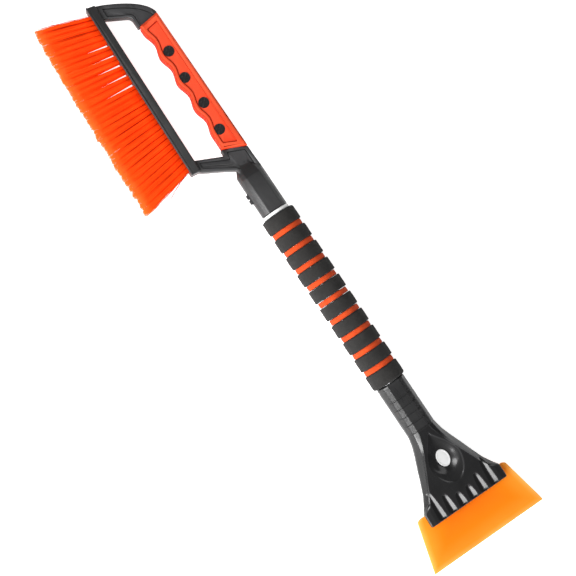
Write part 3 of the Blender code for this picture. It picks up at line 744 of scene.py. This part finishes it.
def filament_row(name, roots, middles, tips, radii, tones):
    """Thin three-sided rods, each along its own curve, with their tone and length as attributes."""
    count, sides = len(roots), 3
    t = np.array(FILAMENT_LEVELS)[None, :, None]
    line = (1 - t) ** 2 * roots[:, None] + 2 * t * (1 - t) * middles[:, None] + t * t * tips[:, None]
    taper = np.interp(FILAMENT_LEVELS, (0.0, 0.8, 1.0), (1.0, 0.85, 0.35))
    turn = angles(sides) + 0.5
    ring = np.stack([np.cos(turn), np.zeros(sides), np.sin(turn)], 1)
    points = line[:, :, None, :] + radii[:, None, None, None] * taper[None, :, None, None] * ring
    levels = len(FILAMENT_LEVELS)
    one = np.array(tube_faces(levels, sides, capped=False))
    caps = [tuple(range(sides)), tuple(range((levels - 1) * sides, levels * sides))]
    starts = np.arange(count) * levels * sides
    faces = [tuple(face) for face in (one[None] + starts[:, None, None]).reshape(-1, 4)]
    faces += [tuple(start + i for i in cap) for start in starts for cap in caps]
    mesh = mesh_from(name, points.reshape(-1, 3), faces)
    bm = bmesh.new()
    bm.from_mesh(mesh)
    bmesh.ops.recalc_face_normals(bm, faces=bm.faces)
    bm.to_mesh(mesh)
    bm.free()
    mesh.shade_smooth()
    share = np.tile(np.repeat(FILAMENT_LEVELS, sides), count).astype(np.float32)
    tone = np.repeat(tones, levels * sides).astype(np.float32)
    for key, values in (("length_share", share), ("tone", tone)):
        mesh.attributes.new(key, "FLOAT", "POINT").data.foreach_set("value", values)
    return mesh


def bristles():
    """Sixteen columns of filaments; some columns stand clear of the next one at their roots."""
    rng = np.random.default_rng(SEED)
    pitch = 222.0 / TUFT_COUNT
    for i in range(TUFT_COUNT):
        root, tip = 20.0 + 12.0 * i, -3.0 + pitch * (i + 0.5)
        turn, reach = rng.uniform(0, 2 * math.pi, FILAMENTS), np.sqrt(rng.uniform(0, 1, FILAMENTS))
        half = rng.choice((-0.5, 0.5), FILAMENTS)
        inner, across = reach * np.cos(turn), reach * np.sin(turn)
        seam = rng.uniform(0, 1, FILAMENTS) < 0.10
        seam &= ~((half < 0) & (inner < 0) & (i - 1 in OPEN_GAPS))
        seam &= ~((half > 0) & (inner > 0) & (i in OPEN_GAPS))
        inner = np.where(seam, np.sign(inner) * rng.uniform(0.92, 1.12, FILAMENTS), inner)
        along = half + 0.5 * inner
        before = 4.7 if i - 1 in OPEN_GAPS or i == 0 else 5.8
        after = 4.7 if i in OPEN_GAPS or i == TUFT_COUNT - 1 else 5.8
        room = np.where(along < 0, before, after)
        foot = root + along * room
        roots = np.stack([foot, np.full(FILAMENTS, bar_low_y(root) - 0.8), 7.4 * across], 1)
        lean = rng.normal(0, 0.3, 2)[(half > 0).astype(int)]
        tip_s = tip + 6.95 * half + 3.4 * inner + lean + rng.normal(0, 0.65, FILAMENTS)
        tip_h = 14.6 * across + rng.normal(0, 0.7, FILAMENTS)
        cluster = 1.0 - 1.7 * inner * inner + rng.normal(0, 0.45, 2)[(half > 0).astype(int)]
        short = rng.exponential(1.1, FILAMENTS) * (1 + 2.0 * (rng.uniform(0, 1, FILAMENTS) < 0.12))
        tips = np.stack([tip_s, tip_y(tip_s) + cluster - short + 0.7, tip_h], 1)
        middles = roots * 0.52 + tips * 0.48 + rng.normal(0, 0.6, (FILAMENTS, 3))
        spread = room + 0.95 + 0.3 * np.sign(room - 5.0)
        middles[:, 0] = (root + tip) / 2 + spread * (half + 0.475 * inner) + rng.normal(0, 0.3, FILAMENTS)
        radii = rng.uniform(0.17, 0.26, FILAMENTS)
        # Painted shade in the tones: streaks across the tips and darker tuft edges; the rest of each tone is
        # random.
        streak_shade = 0.5 + 0.5 * np.sin(1.7 * tip_s + 0.35 * tip_h + 2.0 * i)
        edge = np.clip((np.abs(inner) - 0.75) / 0.2, 0.0, 1.0)
        tones = 0.42 + 0.33 * rng.uniform(0, 1, FILAMENTS) + 0.25 * streak_shade - 0.4 * edge
        # Painted shade: filaments at the seams between tufts get low tones.
        depth = rng.uniform(0.08, 0.40, 4)[2 * (half > 0) + (inner > 0)]
        tones = np.where(seam, depth, np.clip(tones, 0.0, 1.0))
        name = f"bristle_row_{i + 1:02d}"
        mesh = filament_row(name, roots, middles, tips, radii, tones)
        piece(name, mesh, FILAMENT, "brush_head", "bristle", f"bristle_tuft_{i + 1:02d}")


# each as the (distance, y) of its root, bend and tip, and its heights at root and tip
STRAYS = (
    ((203.0, 51.8), (216.0, 78.0), (229.5, 107.5), (2.0, 6.0)),
    ((204.0, 51.9), (214.5, 80.0), (226.5, 109.5), (-3.0, -8.0)),
    ((202.0, 51.8), (221.0, 78.5), (241.0, 101.0), (4.0, 9.0)),
    ((204.5, 51.9), (213.0, 82.0), (223.5, 112.0), (0.0, 2.0)),
    ((201.0, 51.7), (217.0, 80.5), (233.0, 109.0), (-2.0, -3.0)),
    ((19.0, 48.0), (3.0, 74.0), (-8.6, 96.0), (1.0, 3.0)),
    ((20.5, 48.0), (4.0, 76.0), (-9.0, 101.5), (-2.0, -6.0)),
)


def stray_bristles():
    """Bent filaments that stand out past both ends of the brush."""
    places = []
    for root, bend, tip, (low, high) in STRAYS:
        places.append(((root[0], root[1] - 0.8, low), (*bend, (low + high) / 2), (*tip, high)))
    roots, bends, tips = np.array(places).transpose(1, 0, 2)
    radii, tones = np.full(len(STRAYS), 0.26), np.full(len(STRAYS), 0.05)
    mesh = filament_row("stray_bristles", roots, bends, tips, radii, tones)
    piece("stray_bristles", mesh, FILAMENT, "brush_head", "bristle")


# ---- Foam handle ----
FOAM_CROWN = 0.12
FOAM_RIM, FOAM_END_RIM = 1.1, 2.6


def foam_ring(node, look, slot):
    """One soft ring: rounded rims, a barely crowned face and slightly uneven skin."""
    low, high = span(node)
    radius, length = (high[1] - low[1]) / 2, high[0] - low[0]
    near = FOAM_END_RIM if node.endswith("black_01") else FOAM_RIM
    far = FOAM_END_RIM if node.endswith("black_10") else FOAM_RIM
    face = length - near - far
    quarter = np.linspace(0.0, math.pi / 2, 6)
    profile = [(TUBE_ROOM, 0.0)]
    profile += [(radius - near + near * math.sin(t), near - near * math.cos(t)) for t in quarter]
    for t in np.linspace(0.0, 1.0, max(3, int(face / 1.3)) + 2)[1:-1]:
        profile.append((radius + FOAM_CROWN * math.sin(math.pi * t) - FOAM_CROWN, near + face * t))
    profile += [(radius - far + far * math.cos(t), length - far + far * math.sin(t)) for t in quarter]
    profile.append((TUBE_ROOM, length))
    phase = np.random.default_rng(SEED + int(low[0])).uniform(0, 2 * math.pi, 4)
    turn = angles(96)
    rings = []
    for r, s in profile:
        waves = (0.035 * np.sin(k * turn + p + s * 0.35 * (k % 3)) for k, p in zip((2, 3, 5, 7), phase))
        uneven = sum(waves) if r > TUBE_ROOM else 0.0
        rings.append(hoop(low[0] + s, r + uneven * min(1.0, max(0.0, (r - radius + 3.0) / 3.0)), turn))
    mesh = joined(lofted(node, rings, ring_faces), 60)
    piece("soft_" + node, mesh, look, "scraper_handle", slot, node)


def foam_handle():
    for i in range(10):
        foam_ring(f"foam_ring_black_{i + 1:02d}", FOAM_BLACK, "black_foam")
    for i in range(9):
        foam_ring(f"foam_ring_orange_{i + 1:02d}", FOAM_ORANGE, "orange_foam")


def collar():
    """The white band, turned, with softly rounded rims."""
    low, high = span("stop_collar")
    a, b, r = low[0], high[0], (high[1] - low[1]) / 2
    profile = [(TUBE_ROOM, a), (r - 0.8, a), (r - 0.25, a + 0.15), (r, a + 0.6)]
    profile += [(r, b - 0.6), (r - 0.25, b - 0.15), (r - 0.8, b), (TUBE_ROOM, b)]
    rings = [hoop(distance, radius, angles(96)) for radius, distance in profile]
    mesh = joined(lofted("white_collar", rings, ring_faces), 45)
    piece("white_collar", mesh, COLLAR_WHITE, "scraper_handle", "white_plastic", "stop_collar")


# ---- Scraper ----
LIP_END = 647.0
NECK_START = 499.4
NECK_BORE = (490.0, 545.3)
SCREW_AT = (-12.0, 26.0)
BLADE_TILT = math.radians(10.8)
BLADE_AT = (636.0, -13.0)
BLADE_LENGTH = 57.3
BLADE_HALF = 1.5

# distance, half width, half of the front flat, then the heights of the front, the shoulder's
# foot, the side's foot and the back
HEAD_ROWS = np.array(
    [
        (499.4, 16.0, 6.65, 15.0, 4.0, -4.0, -15.0),
        (556.0, 16.1, 6.75, 15.0, 4.0, -4.0, -15.0),
        (560.0, 16.7, 7.2, 14.9, 3.8, -4.5, -15.0),
        (568.0, 18.6, 9.5, 14.4, 3.0, -5.5, -15.0),
        (578.0, 22.3, 13.5, 13.3, 2.0, -7.0, -15.1),
        (590.0, 27.3, 19.0, 11.3, 1.0, -8.5, -15.3),
        (603.0, 32.3, 25.0, 8.9, 0.0, -10.0, -15.8),
        (616.0, 37.7, 31.0, 6.3, -1.0, -11.5, -16.8),
        (625.0, 43.0, 36.0, 4.8, -1.5, -12.5, -17.6),
        (632.0, 47.6, 40.5, 3.7, -1.8, -13.2, -18.2),
        (647.0, 47.8, 41.2, 1.6, -2.5, -14.5, -19.5),
    ]
)
FLUTES = ((6.5, 630.5), (19.5, 624.5), (32.5, 614.0))
FLUTE_SLOPE, FLUTE_HALF, FLUTE_END = 0.56, 4.9, 646.2
GROOVES = [517.5 + 9.5 * i for i in range(5)]


def head_values(distance):
    """The head's sizes at a distance, eased between the rows above."""
    made = []
    reach = np.linspace(-2.2, 2.2, 9)
    weights = np.cos(reach / 2.2 * math.pi / 2) ** 2 + 0.02
    for column in range(1, HEAD_ROWS.shape[1]):
        values = np.interp(distance + reach, HEAD_ROWS[:, 0], HEAD_ROWS[:, column])
        made.append(float((values * weights).sum() / weights.sum()))
    return made


def groove_depth(distance):
    """Five narrow grooves across the neck and the fine ribs between them."""
    near = min(abs(distance - groove) for groove in GROOVES)
    depth = 0.55 * max(0.0, 1.0 - (near / 0.85) ** 2)
    if 502.0 < distance < 556.5 and near > 1.0:
        depth += 0.11 * (1.0 + math.cos(2 * math.pi * distance / 0.95))
    return depth


def dish_depth(distance, y):
    """The hollow round the badge: a round bowl inside a wide, shallow teardrop with a stepped rim."""
    u, v = (distance - 594.0) / 28.0, (y + 1.5) / 18.4
    if u < 0:
        v = v / max(0.10, 1.0 - 0.45 * u * u - 0.35 * abs(u))
        u = u * 0.86
    out = np.sqrt(u * u + v * v)
    drop = np.clip((out - 0.35) / 0.65, 0.0, 1.0)
    step = np.clip((1.0 - out) * 18.4 / 1.7, 0.0, 1.0)
    bowl = np.clip((np.hypot(distance - 593.5, y + 1.3) - 7.0) / 10.5, 0.0, 1.0)
    made = 0.5 * (1.0 * (1.0 + np.cos(math.pi * drop)) + 2.4 * (1.0 + np.cos(math.pi * bowl)))
    return made + 0.5 * step * step * (3.0 - 2.0 * step)


def front_cut(distance, y):
    """How deep the flutes are at a place on the head's front: plane walls, softly met below."""
    cut = np.zeros_like(y)
    for centre, start in FLUTES:
        if not start < distance < FLUTE_END:
            continue
        grown = min(1.0, ((distance - start) / (FLUTE_END - 5.0 - start)) ** 0.28)
        closing = math.sqrt(max(0.0, 1.0 - max(0.0, (distance - FLUTE_END + 2.0) / 2.0) ** 2))
        half = FLUTE_HALF * grown
        for side in (-1, 1):
            aside = np.abs(y - side * centre)
            aside = np.where(aside < 0.7, 0.35 + aside * aside / 1.4, aside)
            cut = np.maximum(cut, FLUTE_SLOPE * (half - aside) * closing)
    return cut


def head_ring(distance, columns):
    """One section of the scraper's body; the front's columns keep their y from section to section."""
    half, flat, top, shoulder, low, bottom = head_values(distance)
    shrink = 0.0
    if distance < NECK_START + 1.4:
        shrink = 0.9 * (1.0 - (distance - NECK_START) / 1.4) ** 2
    if distance > LIP_END - 1.8:
        shrink = 1.1 * (1.0 - math.sqrt(max(0.0, 1.0 - ((distance - LIP_END + 1.8) / 1.8) ** 2)))
    groove = groove_depth(distance)
    y = np.clip(columns, -flat, flat)
    height = np.full(len(y), top)
    if 560.0 < distance < 626.0:
        height = height - dish_depth(distance, y)
    height = height - front_cut(distance, y) - groove - shrink
    turn = min(1.0, max(0.0, (distance - 558.0) / 30.0))
    turn = turn * turn * (3.0 - 2.0 * turn)
    corner_y = flat + (half - flat) * (0.55 - 0.28 * turn)
    corner_h = shoulder + (top - shoulder) * (0.72 + 0.05 * turn)
    lip = min(1.0, max(0.0, (distance - 625.0) / 6.0))
    corner_y += (half - 1.0 - corner_y) * lip
    corner_h += (top - 0.5 - corner_h) * lip
    back_half = half - 0.25 * (-4.0 - low)
    back_y, back_h = back_half - (back_half - flat) * 0.45, low + (bottom - low) * 0.72
    band = [(flat, top), (corner_y, corner_h), (half, shoulder), (back_half, low), (back_y, back_h)]
    band.append((flat, bottom))
    weights = (1.0, 1.0, 0.35, 0.0, 0.0, 0.0)
    resampled, trim = [], []
    for (a, wa), (b, wb), steps in zip(
        zip(band, weights), zip(band[1:], weights[1:]), (9, 8, 4, 6, 5)
    ):
        for t in np.linspace(0.0, 1.0, steps, endpoint=False):
            resampled.append((a[0] + (b[0] - a[0]) * t, a[1] + (b[1] - a[1]) * t))
            trim.append(wa + (wb - wa) * t)
    resampled.append(band[-1])
    trim.append(0.0)
    line = np.array(resampled)
    for _ in range(2):
        line[1:-1] = line[1:-1] * 0.5 + (line[:-2] + line[2:]) * 0.25
    cut = front_cut(distance, line[:, 0]) * np.array(trim)
    line[:, 1] -= cut + groove * np.array(trim) + shrink * np.array(trim)
    line[:, 0] -= (groove + shrink) * np.clip(np.array(trim) * 1.2, 0.0, 1.0) * (line[:, 0] > flat + 0.5)
    line[-1, 1] += shrink
    side = line[1:]
    back = np.linspace(flat, -flat, 12)[1:-1]
    ring = [(v, h) for v, h in zip(y, height)]
    ring += [tuple(point) for point in side]
    ring += [(v, bottom + shrink) for v in back]
    ring += [(-v, h) for v, h in side[::-1]]
    return np.column_stack([np.full(len(ring), distance), np.array(ring)])


def head_stations():
    fine = list(np.arange(NECK_START, NECK_START + 1.5, 0.35))
    fine += list(np.arange(501.0, 556.5, 0.2375))
    fine += list(np.arange(556.5, 612.0, 0.6))
    fine += list(np.arange(612.0, 645.0, 0.5))
    fine += [645.0, 645.4, 645.8, 646.2, 646.5, 646.75, 646.92, LIP_END]
    return fine


def on_blade(points):
    """Points given on the blade as (distance from its shoulder, y, height), tilted into place."""
    d, y, h = np.asarray(points, float).T
    c, s = math.cos(BLADE_TILT), math.sin(BLADE_TILT)
    return np.stack([BLADE_AT[0] + d * c + h * s, y, BLADE_AT[1] - d * s + h * c], 1)


def scraper_head():
    columns = np.concatenate([np.arange(-41.4, 41.5, 0.45), [-41.2, 41.2]])
    columns = np.unique(np.round(columns, 3))
    rings = [head_ring(distance, columns) for distance in head_stations()]
    body = scratch("head", joined(lofted("head", rings)))
    loop = [(-22.8, 29.4), (-2.2, 42.9), (-2.2, 62.0), (16.0, 62.0)]
    loop += [(d, -y) for d, y in reversed(loop)]
    faces = [on_blade([(d, y, h) for d, y in loop]) for h in (-BLADE_HALF - 0.35, BLADE_HALF + 0.35)]
    cuts = [scratch("slot", joined(lofted("slot", faces)))]
    cuts.append(rod("neck_bore", *NECK_BORE, TUBE_ROOM))
    for k, side in enumerate((-1, 1)):
        for name, radius, low, high in (("hole", 2.0, -12.0, 7.0), ("seat", 4.0, -12.0, -4.1)):
            a, b = disc_points(radius, 32)
            d, y = a + SCREW_AT[0], b + side * SCREW_AT[1]
            ends = [on_blade(np.stack([d, y, np.full(32, h)], 1)) for h in (low, high)]
            cutter = lofted(f"{name}_{k}", ends)
            cuts.append(scratch(f"{name}_{k}", joined(cutter)))
    mesh = carve(body, cuts)
    mesh.set_sharp_from_angle(angle=math.radians(38))
    piece("scraper_moulding", mesh, HEAD_BLACK, "scraper_handle", "black_plastic", "scraper_body")


def blade():
    """The blade: a flat sheet that thins to its edge, with the share of its way in as a value."""
    band = 8.0
    d_values = [-22.4, -22.0, -12.0, -2.2, -1.8, -1.4, 0.0, 1.2, 2.5, *np.linspace(5.0, 49.0, 14)]
    d_values += [BLADE_LENGTH - band, BLADE_LENGTH - band + 0.6, 52.5, 55.0, 56.8, 57.15, BLADE_LENGTH]
    rings, shares = [], []
    inner = [(-22.4, 28.8), (-22.0, 29.2), (-1.8, 42.5), (-1.4, 52.5), (0.0, 55.2), (1.2, 56.0)]
    inner += [(BLADE_LENGTH - 0.5, 69.2), (BLADE_LENGTH, 68.9)]
    inner = np.array(inner)
    across = np.linspace(-1.0, 1.0, 61)
    for d in d_values:
        half = float(np.interp(d, inner[:, 0], inner[:, 1]))
        thin = max(0.0, d - (BLADE_LENGTH - band)) * math.tan(math.radians(14.0))
        top, bottom = BLADE_HALF - thin, -BLADE_HALF
        if d > BLADE_LENGTH - 0.2 or d < -22.2:
            top, bottom = top - 0.15, bottom + 0.15
        edge = 0.35 if top - bottom > 1.0 else (top - bottom) * 0.3
        rim = [(half - edge * 0.3, top - edge * 0.3), (half, top - edge)]
        rim += [(half, bottom + edge), (half - edge * 0.3, bottom + edge * 0.3)]
        ring = [(d, y, top) for y in across * (half - edge)] + [(d, y, h) for y, h in rim]
        ring += [(d, y, bottom) for y in across[::-1] * (half - edge)]
        ring += [(d, -y, h) for y, h in rim[::-1]]
        ring = np.array(ring)
        rings.append(on_blade(ring))
        inside = np.minimum(half - np.abs(ring[:, 1]), BLADE_LENGTH - d)
        shares.append(np.clip(inside / 50.0, 0.0, 1.0))
    mesh = lofted("blade", rings)
    values = np.concatenate(shares).astype(np.float32)
    mesh.attributes.new("edge_share", "FLOAT", "POINT").data.foreach_set("value", values)
    joined(mesh, 12)
    piece("ice_blade", mesh, BLADE, "scraper_handle", "blade_plastic", "scraper_blade")


def badge():
    """The oval badge: a raised rim round a slightly domed, blank face."""
    around = 96
    levels = [(0.02, 0.35), (0.3, 0.33), (0.55, 0.28), (0.76, 0.2), (0.82, 0.18), (0.85, 0.42)]
    levels += [(0.90, 0.5), (0.95, 0.45), (0.985, 0.28), (1.0, 0.0), (1.0, -0.9)]
    tilt = -0.19
    rings = []
    for share, height in levels:
        a, b = disc_points(1.0, around)
        x, y, h = a * 9.7 * share, b * 6.7 * share, np.full(around, height + 1.15)
        s = 593.0 + x * math.cos(tilt) - h * math.sin(tilt)
        z = 6.6 + x * math.sin(tilt) + h * math.cos(tilt)
        rings.append(np.stack([s, y - 1.3, z], 1))
    mesh = joined(lofted("badge", rings), 45)
    piece("blank_badge", mesh, BADGE_WHITE, "scraper_handle", "white_plastic", "badge")


# ---- Spring ----
COIL_TURNS, COIL_WIRE = 5.0, 0.28


def coil_spring():
    """A wound spring with closed ends."""
    low, high = span("lock_spring")
    middle, length, steps = (low + high) / 2, high[1] - low[1], 24
    radius = (high[0] - low[0]) / 2 - 0.3
    up, section = np.array([0.0, 1.0, 0.0]), angles(10)
    rings = []
    for i in range(int(COIL_TURNS * steps) + 1):
        turn = i / steps
        share = np.interp(turn, (0.0, 0.9, COIL_TURNS - 0.9, COIL_TURNS), (0.0, 0.12, 0.88, 1.0))
        y = low[1] + COIL_WIRE + (length - 2 * COIL_WIRE) * share
        out = np.array([math.cos(turn * 2 * math.pi), 0.0, math.sin(turn * 2 * math.pi)])
        centre = np.array([middle[0], y, middle[2]]) + out * radius
        rings.append(centre + COIL_WIRE * (np.outer(np.cos(section), out) + np.outer(np.sin(section), up)))
    mesh = joined(lofted("coil_spring", rings), 60)
    made = piece("coil_spring", mesh, STEEL, "scraper_handle", "steel", "lock_spring")
    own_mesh(made)


# ---- Pieces whose CAD shape is kept ----
def keep(node, look):
    """Gives a CAD node its look and returns it."""
    dress(NODES[node].data, look)
    return NODES[node]


# ---- Stage ----
FLOOR_GLOW = (0.25, 0.85)


def stage_floor():
    """A wide floor that shines white at the camera and less at the object."""
    size = 6.0
    corners = [(-size, -size, 0), (size, -size, 0), (size, size, 0), (-size, size, 0)]
    mesh = bpy.data.meshes.new("floor")
    mesh.from_pydata(corners, [], [(0, 1, 2, 3)])
    floor = placed("floor", mesh)
    floor.location.z = CAD_BOX[0][2] - 0.5 * MM
    look = Look("pale_floor")
    slow = look.noise(1.2, 2.0)
    colour = look.blend(look.remap(slow, 0.3, 0.7), (0.90, 0.90, 0.90), (0.92, 0.92, 0.92))
    seen = look.node("ShaderNodeLightPath").outputs["Is Camera Ray"]
    look.set(Base_Color=colour, Roughness=0.9, Specular_IOR_Level=0.1, Emission_Color=(1.0, 1.0, 1.0, 1.0))
    look.set(Emission_Strength=look.remap(seen, 0.0, 1.0, *FLOOR_GLOW))
    dress(mesh, look)


def area_light(name, direction, distance, size, power):
    """A rectangular light, aimed at the object's middle."""
    centre = Vector(((CAD_BOX[0][0] + CAD_BOX[1][0]) / 2, (CAD_BOX[0][1] + CAD_BOX[1][1]) / 2, 20.0 * MM))
    lamp = bpy.data.lights.new(name, "AREA")
    lamp.shape = "RECTANGLE"
    lamp.size, lamp.size_y = size
    lamp.energy = power
    made = placed(name, lamp)
    direction = Vector(direction).normalized()
    made.location = centre + direction * distance
    made.rotation_euler = (-direction).to_track_quat("-Z", "Y").to_euler()


KEY_DIRECTION = (-0.30, 0.83, 0.47)
WORLD_DIM, WORLD_BRIGHT = 0.2, 1.0
KEY_POWER, FILL_POWER, GLINT_POWER = 62.0, 7.0, 20.0


def world_light():
    """A dim room that brightens towards the key light; the camera itself sees white."""
    world = bpy.data.worlds.new("studio")
    bpy.context.scene.world = world
    world.use_nodes = True
    nodes, links = world.node_tree.nodes, world.node_tree.links
    back = nodes["Background"]
    back.inputs["Color"].default_value = (1.0, 1.0, 1.0, 1.0)
    place = nodes.new("ShaderNodeTexCoord").outputs["Generated"]
    facing = nodes.new("ShaderNodeVectorMath")
    facing.operation = "DOT_PRODUCT"
    facing.inputs[1].default_value = Vector(KEY_DIRECTION).normalized()
    links.new(place, facing.inputs[0])
    spread = nodes.new("ShaderNodeMapRange")
    spread.interpolation_type = "SMOOTHSTEP"
    for socket, value in zip(spread.inputs[1:5], (0.25, 0.95, WORLD_DIM, WORLD_BRIGHT)):
        socket.default_value = value
    links.new(facing.outputs["Value"], spread.inputs[0])
    seen = nodes.new("ShaderNodeMix")
    links.new(nodes.new("ShaderNodeLightPath").outputs["Is Camera Ray"], seen.inputs[0])
    links.new(spread.outputs[0], seen.inputs[2])
    seen.inputs[3].default_value = 1.0
    links.new(seen.outputs[0], back.inputs["Strength"])


def lights():
    world_light()
    area_light("key", KEY_DIRECTION, 2.2, (2.1, 0.75), KEY_POWER)
    area_light("fill", (-0.1, -0.7, 0.95), 2.6, (1.4, 1.0), FILL_POWER)
    area_light("glint", (0.02, 0.42, 0.91), 2.2, (0.8, 0.8), GLINT_POWER)


# worked out from where the object's features fall in the photograph, in millimetres
CAMERA_AT, CAMERA_AIM = (391.5, 231.0, 1600.0), (360.59, 33.27, 0.0)
SHAFT_LEAN = math.radians(90.0 + 33.825)
WIDTH_SEEN = 587.45


def camera():
    """Over the object, as the photograph was taken: the shaft runs down to the right."""
    at, aim = Vector(row(CAMERA_AT)[0]), Vector(row(CAMERA_AIM)[0])
    back = (at - aim).normalized()
    along = (Vector((1, 0, 0)) - back * back.x).normalized()
    right = math.cos(SHAFT_LEAN) * along - math.sin(SHAFT_LEAN) * back.cross(along)
    lens = bpy.data.cameras.new("photo_view")
    lens.sensor_width = 36.0
    lens.lens = lens.sensor_width * CAMERA_AT[2] / WIDTH_SEEN
    lens.clip_start, lens.clip_end = 0.05, 20.0
    eye = placed("photo_view", lens)
    pose = Matrix((right, back.cross(right), back)).transposed().to_4x4()
    pose.translation = at
    eye.matrix_world = pose
    bpy.context.scene.camera = eye


brush_frame()
grip_sleeve()
for place_number, (place_s, place_y) in enumerate(STUD_PLACES):
    for face in (1, -1):
        stud(face, place_number + 1, place_s, place_y)
bristles()
stray_bristles()
foam_handle()
collar()
scraper_head()
blade()
badge()
coil_spring()
bevelled(keep("release_button", FRAME_BLACK), 0.35, 2, 50.0)
keep("tube_plug", FRAME_BLACK)
keep("handle_tube", TUBE_METAL)
for steel_node in ("lock_pin", "blade_screw_1", "blade_screw_2"):
    keep(steel_node, STEEL)
for helper in SCRATCH:
    bpy.data.objects.remove(helper, do_unlink=True)
stage_floor()
lights()
camera()
bpy.context.scene.view_settings.view_transform = "Standard"
